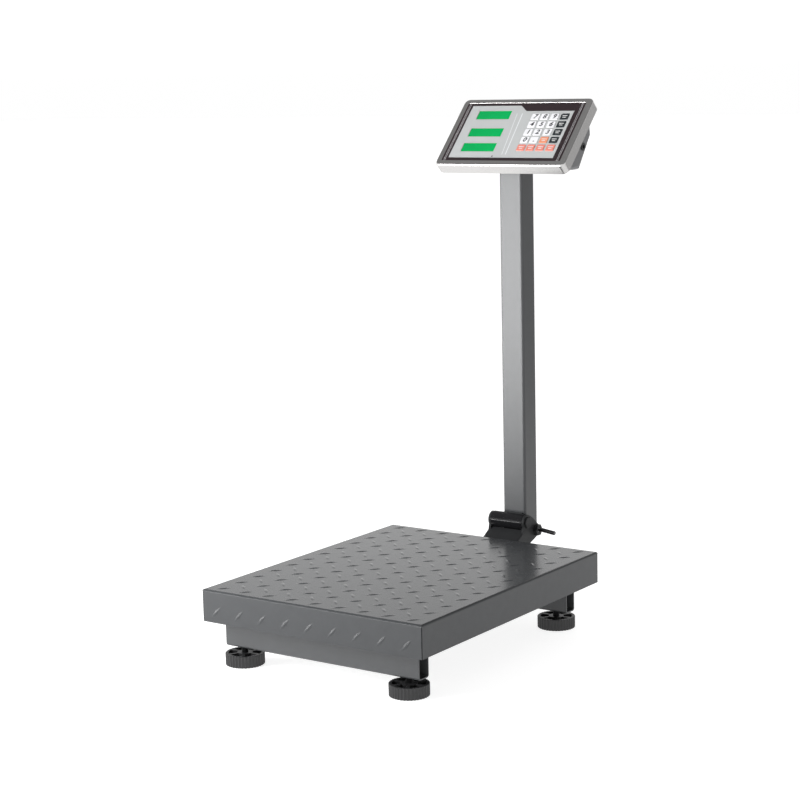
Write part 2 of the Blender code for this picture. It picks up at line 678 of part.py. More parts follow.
def build_column():
    """Build the hinge barrel, the column tube and the neck at its top."""
    black = "gloss_black_paint"
    paint = "charcoal_paint"
    eye = (AXIS_Y, AXIS_Z)
    barrel = rod("hinge_barrel", black, "X", -BARREL_HALF, BARREL_HALF, eye, BARREL_RADIUS, 32)
    rear = BARREL_RADIUS + SADDLE_CLEAR - GAP
    saddle = [(SADDLE_FRONT, -SADDLE_BOTTOM), (rear, -SADDLE_BOTTOM)]
    saddle += [(rear, SADDLE_TOP), (SADDLE_FRONT, SADDLE_TOP)]
    join(barrel, prism("saddle", black, "X", -SADDLE_HALF, SADDLE_HALF, from_axis(saddle)))
    past = BARREL_HALF + RUN_OUT
    cut(barrel, rod("bore", black, "X", -past, past, eye, PIN_RADIUS + GAP))
    set_pivot(barrel, 0.0, AXIS_Y, AXIS_Z)
    middle = (0.0, COLUMN_Y)
    inside = (COLUMN_SIDE - 2 * COLUMN_WALL, COLUMN_DEPTH - 2 * COLUMN_WALL)
    outer = rounded(COLUMN_SIDE, COLUMN_DEPTH, COLUMN_CORNER, 4, middle)
    inner = rounded(inside[0], inside[1], COLUMN_CORNER - COLUMN_WALL, 4, middle)
    column = tube("column_tube", paint, "Z", COLUMN_BOTTOM, COLUMN_TOP, outer, inner)
    lock = (AXIS_Y + LOCK_BACK, AXIS_Z - LOCK_DOWN)
    cut(column, rod("keeper", paint, "X", COLUMN_SIDE / 2 - 3 * COLUMN_WALL, COLUMN_SIDE / 2 + RUN_OUT,
                    lock, LOCK_RADIUS + GAP))
    set_pivot(column, 0.0, AXIS_Y, AXIS_Z)
    build_neck(inside, middle)


def build_neck(inside, middle):
    """Build the plug in the column's top, its cap and the tongue that the head tilts on."""
    black = "gloss_black_paint"
    plug = rounded(inside[0] - 2 * GAP, inside[1] - 2 * GAP, COLUMN_CORNER - COLUMN_WALL, 2, middle)
    neck = prism("column_neck", black, "Z", COLUMN_TOP - PLUG_DEPTH, COLUMN_TOP + RUN_OUT, plug)
    cap = rounded(COLUMN_SIDE, COLUMN_DEPTH, COLUMN_CORNER, 2, middle)
    join(neck, prism("cap", black, "Z", COLUMN_TOP + GAP, COLUMN_TOP + GAP + CAP_HEIGHT, cap))
    root = COLUMN_TOP - TONGUE_ROOT
    arch = [(TILT_Y - TONGUE_RADIUS, root), (TILT_Y + TONGUE_RADIUS, root)]
    for step in range(9):
        back, up = polar(TONGUE_RADIUS, math.pi * step / 8)
        arch.append((TILT_Y + back, TILT_Z + up))
    join(neck, prism("tongue", black, "X", -TONGUE_HALF, TONGUE_HALF, arch))
    past = TONGUE_HALF + RUN_OUT
    cut(neck, rod("eye", black, "X", -past, past, (TILT_Y, TILT_Z), BOLT_RADIUS + GAP, 16))
    set_pivot(neck, 0.0, AXIS_Y, AXIS_Z)


def face_point(up, out):
    """Return the (y, z) of a point up from the lower edge of the head's face and out of it."""
    along = math.cos(HEAD_ANGLE)
    rise = math.sin(HEAD_ANGLE)
    return (FACE_Y + up * along - out * rise, FACE_Z + up * rise + out * along)


def head_matrix():
    """Return the head's frame from the middle of its face: X right, Y up the face, Z out of it."""
    place = Matrix.Translation(Vector((0.0, *face_point(HEAD_HEIGHT / 2, 0.0))) * MM)
    return place @ Matrix.Rotation(HEAD_ANGLE, 4, "X")


def into_head(obj):
    """Move a body drawn in the face's own frame into place and hang it on the tilt axis."""
    obj.data.transform(head_matrix())
    return set_pivot(obj, 0.0, TILT_Y, TILT_Z)


def build_bezel():
    """Build the folded stainless bezel with the recess that carries the overlay."""
    steel = "stainless"
    bezel = prism("bezel", steel, "Z", -HEAD_DEPTH, 0.0, rounded(HEAD_WIDTH, HEAD_HEIGHT, HEAD_CORNER))
    soften(bezel, HEAD_ROUND, 3, lambda a, b: min(a.z, b.z) > -HEAD_DEPTH / 2)
    room = (HEAD_WIDTH - 2 * BEZEL_WALL, HEAD_HEIGHT - 2 * BEZEL_WALL)
    cavity = rounded(room[0], room[1], HEAD_CORNER - BEZEL_WALL)
    cut(bezel, prism("cavity", steel, "Z", -HEAD_DEPTH - RUN_OUT, -BEZEL_FACE, cavity))
    corner = OVERLAY_CORNER + GAP
    seat = rounded(OVERLAY_WIDTH + 2 * GAP, OVERLAY_HEIGHT + 2 * GAP, corner)
    floor = OVERLAY_DROP + OVERLAY_SHEET + GAP
    cut(bezel, prism("recess", steel, "Z", -floor, RUN_OUT, seat))
    hole = rounded(OVERLAY_WIDTH - 2 * LEDGE, OVERLAY_HEIGHT - 2 * LEDGE, corner)
    cut(bezel, prism("window", steel, "Z", -BEZEL_FACE - RUN_OUT, RUN_OUT, hole))
    into_head(bezel)


def build_face():
    """Build the overlay, the display modules, the keys and the circuit board."""
    top = -OVERLAY_DROP
    under = top - OVERLAY_SHEET - RUN_OUT
    overlay = prism("overlay", "overlay", "Z", top - OVERLAY_SHEET, top,
                    rounded(OVERLAY_WIDTH, OVERLAY_HEIGHT, OVERLAY_CORNER))
    board_top = -BEZEL_FACE - GAP
    for name, (start, stop) in zip(LCD_NAMES, LCD_ROWS):
        low = ((LCD_LEFT - 0.5) * OVERLAY_WIDTH, (0.5 - stop) * OVERLAY_HEIGHT)
        high = ((LCD_RIGHT - 0.5) * OVERLAY_WIDTH, (0.5 - start) * OVERLAY_HEIGHT)
        cut(overlay, box("window", "overlay", (low[0] - GAP, low[1] - GAP, under),
                         (high[0] + GAP, high[1] + GAP, RUN_OUT)))
        into_head(box(name, "lcd_green", (low[0], low[1], board_top + GAP),
                      (high[0], high[1], top - LCD_DROP)))
    for v, names in zip(KEY_ROWS, KEY_NAMES):
        for u, name in zip(KEY_COLUMNS, names):
            build_key(overlay, name, (u - 0.5) * OVERLAY_WIDTH, (0.5 - v) * OVERLAY_HEIGHT, under)
    into_head(overlay)
    size = (OVERLAY_WIDTH - 2 * BOARD_MARGIN, OVERLAY_HEIGHT - 2 * BOARD_MARGIN)
    into_head(prism("circuit_board", "board_green", "Z", board_top - BOARD_SHEET, board_top,
                    rounded(size[0], size[1], BOARD_CORNER)))


def build_key(overlay, name, x, y, under):
    """Cut one key's hole in the overlay and build the key that travels in it."""
    hole = rounded(KEY_WIDTH + 2 * GAP, KEY_HEIGHT + 2 * GAP, KEY_CORNER + GAP, 2, (x, y))
    cut(overlay, prism("hole", "overlay", "Z", under, RUN_OUT, hole))
    finish = "key_white"
    for tone in ("key_dark", "key_orange", "key_red"):
        if name.startswith(tone):
            finish = tone
    top = KEY_PROUD - OVERLAY_DROP
    key = prism(name, finish, "Z", -KEY_FOOT, top, rounded(KEY_WIDTH, KEY_HEIGHT, KEY_CORNER, 2, (x, y)))
    soften(key, KEY_ROUND, 1, lambda a, b: min(a.z, b.z) > top - KEY_PROUD / 2)
    into_head(key)


def inset(points, wall):
    """Move every side of a counter-clockwise outline inwards by a wall."""
    corners = []
    for i, point in enumerate(points):
        here = Vector(point)
        arrive = (here - Vector(points[i - 1])).normalized()
        leave = (Vector(points[(i + 1) % len(points)]) - here).normalized()
        first = Vector((-arrive.y, arrive.x))
        second = Vector((-leave.y, leave.x))
        corners.append(tuple(here + (first + second) * wall / (1.0 + first.dot(second))))
    return corners


def cover_section():
    """Return the rear cover's outside, from the middle of its flange down round the back."""
    flange = COVER_WALL / 2 - HEAD_DEPTH
    lower = [(COVER_LIP, flange), (COVER_LIP, -HEAD_DEPTH - COVER_STEP)]
    return lower + list(COVER_BACK) + [(COVER_BACK[-1][0], flange)]


def build_cover():
    """Build the moulded rear cover, with its tilt housing and inlet hole, and what it holds."""
    grey = "grey_plastic"
    back = -HEAD_DEPTH
    margin = 2 * (BEZEL_WALL + GAP)
    lid = rounded(HEAD_WIDTH - margin, HEAD_HEIGHT - margin, HEAD_CORNER - BEZEL_WALL - GAP)
    cover = prism("rear_cover", grey, "Z", back, back + COVER_WALL, lid)
    section = cover_section()
    half = HEAD_HEIGHT / 2
    outside = [(up - half, out) for up, out in section]
    hump = prism("hump", grey, "X", -COVER_HALF, COVER_HALF, outside)
    soften(hump, COVER_ROUND, 2, lambda a, b: abs(a.x - b.x) < RUN_OUT and max(a.z, b.z) < back)
    join(cover, hump)
    within = [(up - half, out) for up, out in inset(section, COVER_WALL)]
    for end in (0, -1):
        within[end] = (within[end][0], back + COVER_WALL + RUN_OUT)
    inside = COVER_HALF - COVER_WALL
    cut(cover, prism("hollow", grey, "X", -inside, inside, within))
    cover.data.transform(head_matrix())
    build_tilt_housing(cover, section)
    inlet = (TILT_Y + INLET_BACK, TILT_Z + INLET_RISE)
    past = COVER_HALF + RUN_OUT
    cut(cover, rod("inlet_hole", grey, "X", inside - RUN_OUT, past, inlet, INLET_RADIUS + GAP, 16))
    set_pivot(cover, 0.0, TILT_Y, TILT_Z)
    build_inlet(inside, inlet)
    build_battery(inside, section)


def build_tilt_housing(cover, section):
    """Add the well over the column's top and the slotted housing that the tongue tilts in."""
    grey = "grey_plastic"
    outline = [face_point(up, out) for up, out in section]
    form = [face_point(up, out) for up, out in inset(section, COVER_WALL / 2)]
    low = min(z for y, z in outline) - RUN_OUT
    far = max(y for y, z in outline) + RUN_OUT
    room = COLUMN_SIDE / 2 + WELL_CLEAR
    front = COLUMN_FRONT - WELL_SWING
    top = COLUMN_TOP + WELL_HEADROOM
    wall = TONGUE_HALF + GAP + COVER_WALL
    well = box("well", grey, (-room - COVER_WALL, front - COVER_WALL, low),
               (room + COVER_WALL, far, top + COVER_WALL))
    housing = box("housing", grey, (-wall, TILT_Y - HOUSING_FRONT, low), (wall, far, TILT_Z + HOUSING_TOP))
    for block in (well, housing):
        combine(block, prism("form", grey, "X", -COVER_HALF, COVER_HALF, form), "INTERSECT")
        join(cover, block)
    cut(cover, box("space", grey, (-room, front, low), (room, far, top)))
    neck = TONGUE_RADIUS + SLOT_CLEAR
    mouth = neck + (SLOT_DEPTH + SLOT_SHOULDER) * math.tan(SLOT_FLARE)
    slot = [(-mouth, -SLOT_DEPTH), (mouth, -SLOT_DEPTH), (neck, SLOT_SHOULDER)]
    slot += [(SLOT_ROOF, neck), (-SLOT_ROOF, neck), (-neck, SLOT_SHOULDER)]
    slot = [(TILT_Y + back, TILT_Z + up) for back, up in slot]
    cut(cover, prism("slot", grey, "X", -TONGUE_HALF - GAP, TONGUE_HALF + GAP, slot))
    past = wall + RUN_OUT
    cut(cover, rod("bolt_hole", grey, "X", -past, past, (TILT_Y, TILT_Z), BOLT_RADIUS + GAP, 16))
    build_bolt(wall + GAP)


def build_battery(inside, section):
    """Build the battery that lies on the cover's floor beside the well."""
    start = COLUMN_SIDE / 2 + WELL_CLEAR + COVER_WALL + BATTERY_CLEAR
    front = face_point(*section[1])[0] + BATTERY_SET
    low = face_point(*section[2])[1] + COVER_WALL + GAP
    battery = box("battery", "battery_grey", (start, front, low),
                  (inside - BATTERY_END, front + BATTERY_DEPTH, low + BATTERY_HEIGHT))
    set_pivot(battery, 0.0, TILT_Y, TILT_Z)


def build_bolt(seat):
    """Build the bolt that clamps the tongue, with a head at each end."""
    end = seat + BOLT_HEAD_HEIGHT
    bolt = lathe("tilt_bolt", "zinc_steel", "X", (TILT_Y, TILT_Z),
                 [(-end, 0.0), (-end, BOLT_HEAD), (-seat, BOLT_HEAD), (-seat, BOLT_RADIUS),
                  (seat, BOLT_RADIUS), (seat, BOLT_HEAD), (end, BOLT_HEAD), (end, 0.0)], 16)
    set_pivot(bolt, 0.0, TILT_Y, TILT_Z)


def build_inlet(inside, center):
    """Build the round power inlet in the cover's right side, with its centre pin."""
    seat = COVER_HALF + GAP
    face = seat + INLET_FLANGE_HEIGHT
    deep = inside - INLET_DEPTH
    floor = deep + INLET_FLOOR
    tip = seat - RUN_OUT
    inlet = lathe("dc_inlet", "black_plastic", "X", center,
                  [(deep, 0.0), (deep, INLET_RADIUS), (seat, INLET_RADIUS), (seat, INLET_FLANGE),
                   (face, INLET_FLANGE), (face, INLET_BORE), (floor, INLET_BORE), (floor, INLET_PIN),
                   (tip, INLET_PIN), (tip, 0.0)], 20)
    set_pivot(inlet, 0.0, TILT_Y, TILT_Z)


def center_origin():
    """Move the scale so that the origin is under the middle of its box."""
    bpy.context.view_layer.update()
    corners = []
    for obj in bpy.data.objects:
        corners += [obj.matrix_world @ vertex.co for vertex in obj.data.vertices]
    shift = Vector()
    for i in range(2):
        values = [corner[i] for corner in corners]
        shift[i] = -(min(values) + max(values)) / 2
    for obj in bpy.data.objects:
        obj.location += shift


def main():
    """Build the whole scale."""
    clear_scene()
    build_base()
    build_pan()
    build_feet()
    build_bracket()
    build_column()
    build_bezel()
    build_face()
    build_cover()
    center_origin()


main()
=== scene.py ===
"""Looks of the platform shipping scale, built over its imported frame."""
from __future__ import annotations

import logging
import math
from dataclasses import dataclass, field
from enum import Enum
from functools import cached_property
from typing import Any, Callable, Iterable, Sequence, Union

import bmesh
import bpy
from mathutils import Matrix, Vector


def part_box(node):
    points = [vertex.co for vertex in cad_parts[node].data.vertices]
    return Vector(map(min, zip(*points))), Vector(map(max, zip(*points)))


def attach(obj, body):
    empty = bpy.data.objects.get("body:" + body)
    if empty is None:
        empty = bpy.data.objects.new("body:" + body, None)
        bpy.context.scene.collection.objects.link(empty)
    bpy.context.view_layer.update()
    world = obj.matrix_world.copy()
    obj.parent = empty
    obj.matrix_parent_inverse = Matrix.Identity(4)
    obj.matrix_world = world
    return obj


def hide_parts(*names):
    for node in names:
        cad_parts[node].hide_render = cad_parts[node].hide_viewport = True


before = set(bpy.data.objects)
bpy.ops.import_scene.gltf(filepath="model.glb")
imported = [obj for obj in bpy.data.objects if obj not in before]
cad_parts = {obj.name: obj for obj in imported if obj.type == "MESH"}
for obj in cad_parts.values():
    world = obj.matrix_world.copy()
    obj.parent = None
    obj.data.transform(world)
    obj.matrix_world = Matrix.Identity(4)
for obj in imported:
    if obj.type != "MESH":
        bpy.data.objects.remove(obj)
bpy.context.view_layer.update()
LOG = logging.getLogger("platform_scale")

MM = 0.001
AZIMUTH = math.radians(35.03)
CORNERS = ("front_left", "front_right", "rear_left", "rear_right")
Color = tuple[float, float, float]
Place = tuple[float, float, float]
Number = Union[float, "Socket"]
EdgeTest = Callable[[Vector, Vector], bool]
Object = bpy.types.Object
Material = bpy.types.Material


class Slot(Enum):
    """The record's material slots."""

    PAINT = "charcoal_paint"
    GLOSS = "gloss_black_paint"
    ZINC = "zinc_steel"
    PLASTIC = "black_plastic"
    STEEL = "stainless"
    COVER = "grey_plastic"
    OVERLAY = "overlay"
    LCD = "lcd_green"
    WHITE_KEY = "key_white"
    DARK_KEY = "key_dark"
    ORANGE_KEY = "key_orange"
    RED_KEY = "key_red"


class Edge(Enum):
    """How widely a CAD node's sharp edges are rounded, in millimetres."""

    NONE = 0.0
    FINE = 0.15
    GLASS = 0.2
    SMALL = 0.3
    PLAIN = 0.4
    RIM = 0.6
    SOFT = 0.8


def operator(operation: str, swapped: bool = False) -> Callable[..., Socket]:
    """Make an operator of Socket that adds one Math node.

    Args:
        operation: the Math node's operation.
        swapped: whether the other value comes first.

    Returns:
        The operator's method.
    """
    def method(self: Socket, other: Number = 0.0) -> Socket:
        """Return the Math node's value."""
        first, second = (other, self) if swapped else (self, other)
        return self.graph.node("ShaderNodeMath", {"operation": operation}, {0: first, 1: second})

    return method


class Socket:
    """A node's output that takes part in Python arithmetic; a comparison gives 1 or 0."""

    def __init__(self, graph: Graph, out: bpy.types.NodeSocket) -> None:
        """Wrap one output of a node."""
        self.graph = graph
        self.out = out

    __add__ = __radd__ = operator("ADD")
    __sub__ = operator("SUBTRACT")
    __rsub__ = operator("SUBTRACT", swapped=True)
    __mul__ = __rmul__ = operator("MULTIPLY")
    __gt__ = operator("GREATER_THAN")
    __lt__ = operator("LESS_THAN")
    __abs__ = operator("ABSOLUTE")
    __mod__ = operator("FLOORED_MODULO")
    __pow__ = operator("POWER")

    def mixed(self, other: Socket, share: float) -> Socket:
        """Return a mix of two values, with a share of self and the rest of other."""
        return self * share + other * (1.0 - share)

    def clamped(self) -> Socket:
        """Return self held between 0 and 1."""
        return self.graph.node("ShaderNodeMath", {"operation": "ADD", "use_clamp": True}, {0: self, 1: 0.0})


class Graph:
    """A node tree, with one method that adds any node."""

    def __init__(self, tree: bpy.types.NodeTree) -> None:
        """Work on one tree."""
        self.tree = tree

    def node(self, kind: str, settings: dict, inputs: dict, output: Union[int, str] = 0) -> Socket:
        """Add one node.

        Args:
            kind: the node's type.
            settings: properties that are set before its sockets.
            inputs: values or links by socket name or number.
            output: the output that is returned.

        Returns:
            The chosen output.
        """
        made = self.tree.nodes.new(kind)
        for key, value in settings.items():
            if key == "stops":
                self.ramp_stops(made, value)
            else:
                setattr(made, key, value)
        for key, value in inputs.items():
            self.feed(made.inputs[key], value)
        return Socket(self, made.outputs[output])

    def feed(self, target: bpy.types.NodeSocket, value: object) -> None:
        """Link a socket to an output, or set its own value.

        Args:
            target: the input socket.
            value: a Socket, or a plain value.
        """
        if isinstance(value, Socket):
            self.tree.links.new(value.out, target)
        else:
            target.default_value = value

    @staticmethod
    def ramp_stops(made: bpy.types.Node, stops: Sequence[tuple[float, float]]) -> None:
        """Set a Color Ramp's stops.

        Args:
            made: the ramp's node, with its first two stops.
            stops: each stop's place and grey value.
        """
        elements = made.color_ramp.elements
        for place, _ in stops[1:-1]:
            elements.new(place)
        for element, (place, grey) in zip(elements, stops):
            element.position = place
            element.color = (grey, grey, grey, 1.0)

    def split(self, vector: Socket) -> tuple[Socket, Socket, Socket]:
        """Return a vector's three parts."""
        made = self.node("ShaderNodeSeparateXYZ", {}, {0: vector}).out.node
        return tuple(Socket(self, out) for out in made.outputs)


class Paint(Graph):
    """A material's node tree and its Principled shader."""

    NOISE_ROUGH = 0.55
    MIX_LOW = 6
    MIX_HIGH = 7
    MIX_OUT = 2

    def __init__(self, name: str) -> None:
        """Start a material with its Principled shader.

        Args:
            name: the material's name.
        """
        self.material = bpy.data.materials.new(name)
        self.material.use_nodes = True
        super().__init__(self.material.node_tree)
        self.shader = self.tree.nodes["Principled BSDF"]

    def set(self, **values: object) -> None:
        """Set or link the shader's sockets, named with underscores for spaces."""
        for key, value in values.items():
            self.feed(self.shader.inputs[key.replace("_", " ")], value)

    def place(self, turn: Sequence[float] = (0, 0, 0), scale: Sequence[float] = (1, 1, 1),
              shift: Sequence[float] = (0, 0, 0)) -> Socket:
        """Find a point's place on its object.

        Args:
            turn: the turn about X, Y and Z.
            scale: the scale, before the turn.
            shift: the shift, after the turn.

        Returns:
            The place as a vector.
        """
        where = self.node("ShaderNodeTexCoord", {}, {}, "Object")
        values = {"Vector": where, "Location": shift, "Rotation": turn, "Scale": scale}
        return self.node("ShaderNodeMapping", {}, values)

    def noise(self, vector: Socket, scale: float, detail: float = 3.0) -> Socket:
        """Return a noise value from 0 to 1."""
        values = {"Vector": vector, "Scale": scale, "Detail": detail, "Roughness": self.NOISE_ROUGH}
        return self.node("ShaderNodeTexNoise", {}, values, "Fac")

    def blend(self, mask: Number, low: object, high: object) -> Socket:
        """Mix two colours.

        Args:
            mask: how much of the second one shows.
            low: the first colour, a tuple or a link.
            high: the second colour, likewise.

        Returns:
            The mixed colour.
        """
        made = self.node("ShaderNodeMix", {"data_type": "RGBA"}, {0: mask}).out.node
        for key, value in ((self.MIX_LOW, low), (self.MIX_HIGH, high)):
            self.feed(made.inputs[key], value if isinstance(value, Socket) else (*value, 1.0))
        return Socket(self, made.outputs[self.MIX_OUT])

    def bump(self, height: Socket, strength: float, distance: float) -> None:
        """Feed a height through a Bump node into the shader's normal."""
        values = {"Height": height, "Strength": strength, "Distance": distance}
        self.set(Normal=self.node("ShaderNodeBump", {}, values, "Normal"))


@dataclass(frozen=True)
class Finish:
    """A material's name, its two tones, its roughness and how much that varies."""

    name: str
    light: Color
    dark: Color
    rough: float = 0.36
    spread: float = 0.1

    @cached_property
    def paint(self) -> Paint:
        """Return the material's nodes."""
        return Paint(self.name)

    def make(self) -> Material:
        """Lay out the nodes and return the material."""
        self.lay()
        return self.paint.material

    def lay(self) -> None:
        """Lay out the nodes; each kind of finish does this in its own way."""
        raise NotImplementedError

    def roughen(self, noise: Socket) -> None:
        """Set a roughness that a noise moves up and down by half the spread."""
        self.paint.set(Roughness=self.rough + self.spread * noise - self.spread / 2)


@dataclass(frozen=True, kw_only=True)
class PowderPaint(Finish):
    """Powder paint with a fine orange peel and faint mottling."""

    mottle: float = 60.0
    mottle_share: float = 0.7
    peel: float = 900.0
    fleck: float = 2.3
    fleck_height: float = 0.4
    relief: float = 0.05
    height: float = 0.4 * MM
    shine: float = 0.5

    def lay(self) -> None:
        """Lay out the nodes."""
        paint = self.paint
        where = paint.place()
        mottle = paint.noise(where, self.mottle, detail=4.0)
        peel = paint.noise(where, self.peel, detail=2.0)
        fleck = paint.noise(where, self.peel * self.fleck, detail=1.0)
        tone = paint.blend(mottle.mixed(fleck, self.mottle_share), self.dark, self.light)
        paint.set(Base_Color=tone, Specular_IOR_Level=self.shine)
        self.roughen(peel)
        paint.bump(peel + self.fleck_height * fleck, self.relief, self.height)


@dataclass(frozen=True, kw_only=True)
class BrushedMetal(Finish):
    """Metal with fine streaks along one axis."""

    stretch: tuple[float, float, float] = (4.0, 900.0, 900.0)
    streak_share: float = 0.8
    cloud: float = 25.0
    relief: float = 0.08
    height: float = 0.1 * MM

    def lay(self) -> None:
        """Lay out the nodes."""
        paint = self.paint
        streak = paint.noise(paint.place(scale=self.stretch), 1.0)
        cloud = paint.noise(paint.place(), self.cloud, detail=2.0)
        tone = paint.blend(streak.mixed(cloud, self.streak_share), self.dark, self.light)
        paint.set(Base_Color=tone, Metallic=1.0)
        self.roughen(streak)
        paint.bump(streak, self.relief, self.height)


@dataclass(frozen=True, kw_only=True)
class ThreadedRod(Finish):
    """Plated rod with the ridges of its thread; its colour has a painted highlight on the crests and painted
    shade in the grooves.
    """

    rough: float = 0.4
    spread: float = 0.2
    pitch: float = 1.5 * MM
    groove_shade_share: float = 0.7
    cloud: float = 300.0
    relief: float = 0.8
    height: float = 0.6 * MM

    def lay(self) -> None:
        """Lay out the nodes."""
        paint = self.paint
        where = paint.place()
        _, _, up = paint.split(where)
        ridge = abs((up % self.pitch) * (2.0 / self.pitch) - 1.0)
        cloud = paint.noise(where, self.cloud)
        # Painted highlight on the thread's crests and painted shade in its grooves, mixed with a random
        # cloud.
        tone = paint.blend(ridge.mixed(cloud, self.groove_shade_share), self.dark, self.light)
        paint.set(Base_Color=tone, Metallic=1.0)
        self.roughen(cloud)
        paint.bump(ridge, self.relief, self.height)


@dataclass(frozen=True, kw_only=True)
class MouldedPlastic(Finish):
    """Moulded plastic or rubber with a fine spark-eroded grain."""

    spread: float = 0.16
    grain: float = 1600.0
    cloud: float = 35.0
    cloud_share: float = 0.6
    relief: float = 0.12
    height: float = 0.3 * MM

    def lay(self) -> None:
        """Lay out the nodes."""
        paint = self.paint
        where = paint.place()
        grain = paint.noise(where, self.grain, detail=2.0)
        cloud = paint.noise(where, self.cloud)
        paint.set(Base_Color=paint.blend(cloud.mixed(grain, self.cloud_share), self.dark, self.light))
        self.roughen(grain)
        paint.bump(grain, self.relief, self.height)


@dataclass(frozen=True, kw_only=True)
class KeyCap(MouldedPlastic):
    """A smooth moulded key."""

    rough: float = 0.35
    relief: float = 0.05


@dataclass(frozen=True, kw_only=True)
class Ink(MouldedPlastic):
    """A thin layer of printing ink."""

    rough: float = 0.4
    relief: float = 0.02


@dataclass(frozen=True, kw_only=True)
class LiquidCrystal(Finish):
    """A backlit green display whose colour and glow are a little lighter towards its right end, a painted
    sheen.
    """

    left: float
    right: float
    rough: float = 0.23
    spread: float = 0.06
    painted_sheen_share: float = 0.7
    cloud: float = 90.0
    glow: float = 0.35
    shine: float = 0.2

    def lay(self) -> None:
        """Lay out the nodes."""
        paint = self.paint
        where = paint.place()
        across, _, _ = paint.split(where)
        along = (across - self.left) * (1.0 / (self.right - self.left))
        cloud = paint.noise(where, self.cloud, detail=2.0)
        # Painted sheen: lighter towards the right end, mixed with a random cloud; the glow follows it.
        tone = paint.blend(along.mixed(cloud, self.painted_sheen_share), self.dark, self.light)
        paint.set(Base_Color=tone, Emission_Color=tone, Emission_Strength=self.glow)
        paint.set(Specular_IOR_Level=self.shine)
        self.roughen(cloud)


@dataclass(frozen=True, kw_only=True)
class OverlayPrint(Finish):
    """The overlay's print: a striped dark border round a silver field with two pinstripes; the silver
    carries a painted sheen that is lighter towards the right.

    The field's and the pinstripes' places are shares of the width from the left and of the height
    from the top, and the dot's are shares from the middle. A pinstripe has a start, a lean and half a width.
    """

    angle: float
    middle: Vector
    half: Vector
    rough: float = 0.34
    spread: float = 0.08
    field_left: float = 0.063
    field_right: float = 0.919
    field_top: float = 0.053
    field_low: float = 0.945
    step_start: float = 0.469
    step_run: float = 0.062
    step_drop: float = 0.096
    cloud: float = 40.0
    cloud_share: float = 0.5
    pinstripes: tuple[tuple[float, float, float], ...] = ((0.503, 0.024, 0.003), (0.456, 0.044, 0.002))
    pin_middle: float = 0.54
    pin_reach: float = 0.35
    pin_tone: Color = (0.6, 0.62, 0.63)
    dot_left: float = 0.078
    dot_down: float = 0.421
    dot_radius: float = 1.6 * MM
    dot_tone: Color = (0.08, 0.06, 0.06)
    stripe_pitch: float = 2.4 * MM
    stripe_width: float = 0.7 * MM
    stripe_start: float = 5.5 * MM
    stripe_end: float = 12.0 * MM
    stripe_tone: Color = (0.4, 0.39, 0.4)
    border_tone: Color = (0.014, 0.006, 0.008)
    coat: float = 0.25
    coat_rough: float = 0.15

    def lay(self) -> None:
        """Lay out the nodes."""
        paint = self.paint
        turn = Matrix.Rotation(-self.angle, 3, "X")
        where = paint.place(turn=(-self.angle, 0.0, 0.0), shift=-(turn @ self.middle))
        x, y, _ = paint.split(where)
        wide = self.half.x * 2
        tall = self.half.y * 2
        across = x * (1.0 / wide) + 0.5
        down = 0.5 - y * (1.0 / tall)
        cloud = paint.noise(where, self.cloud)
        # Painted sheen: the silver is lighter towards the right, mixed with a random cloud.
        silver = paint.blend(cloud.mixed(across, self.cloud_share), self.dark, self.light)
        for start, lean, half in self.pinstripes:
            line = abs(across - down * lean - start) < half
            line = line * (abs(down - self.pin_middle) < self.pin_reach)
            silver = paint.blend(line, silver, self.pin_tone)
        dot = (x + self.dot_left * wide) ** 2.0 + (y + self.dot_down * tall) ** 2.0
        silver = paint.blend(dot < self.dot_radius ** 2, silver, self.dot_tone)
        inset = self.half.x - abs(x)
        stripes = (inset % self.stripe_pitch) < self.stripe_width
        striped = stripes * (inset > self.stripe_start) * (inset < self.stripe_end)
        border = paint.blend(striped, self.border_tone, self.stripe_tone)
        step = ((across - self.step_start) * (1.0 / self.step_run)).clamped()
        field_mask = (across > self.field_left) * (across < self.field_right) * (down < self.field_low)
        field_mask = field_mask * (down > step * self.step_drop + self.field_top)
        paint.set(Base_Color=paint.blend(field_mask, border, silver))
        paint.set(Coat_Weight=self.coat, Coat_Roughness=self.coat_rough)
        self.roughen(cloud)


@dataclass(frozen=True, kw_only=True)
class GlowingBoard(Finish):
    """A plain board of the studio that glows evenly."""

    glow: float
    rough: float = 0.8
    cloud: float = 2.0

    def lay(self) -> None:
        """Lay out the nodes."""
        paint = self.paint
        cloud = paint.noise(paint.place(), self.cloud, detail=2.0)
        paint.set(Base_Color=paint.blend(cloud, self.dark, self.light), Roughness=self.rough)
        paint.set(Emission_Color=(1.0, 1.0, 1.0, 1.0), Emission_Strength=self.glow)


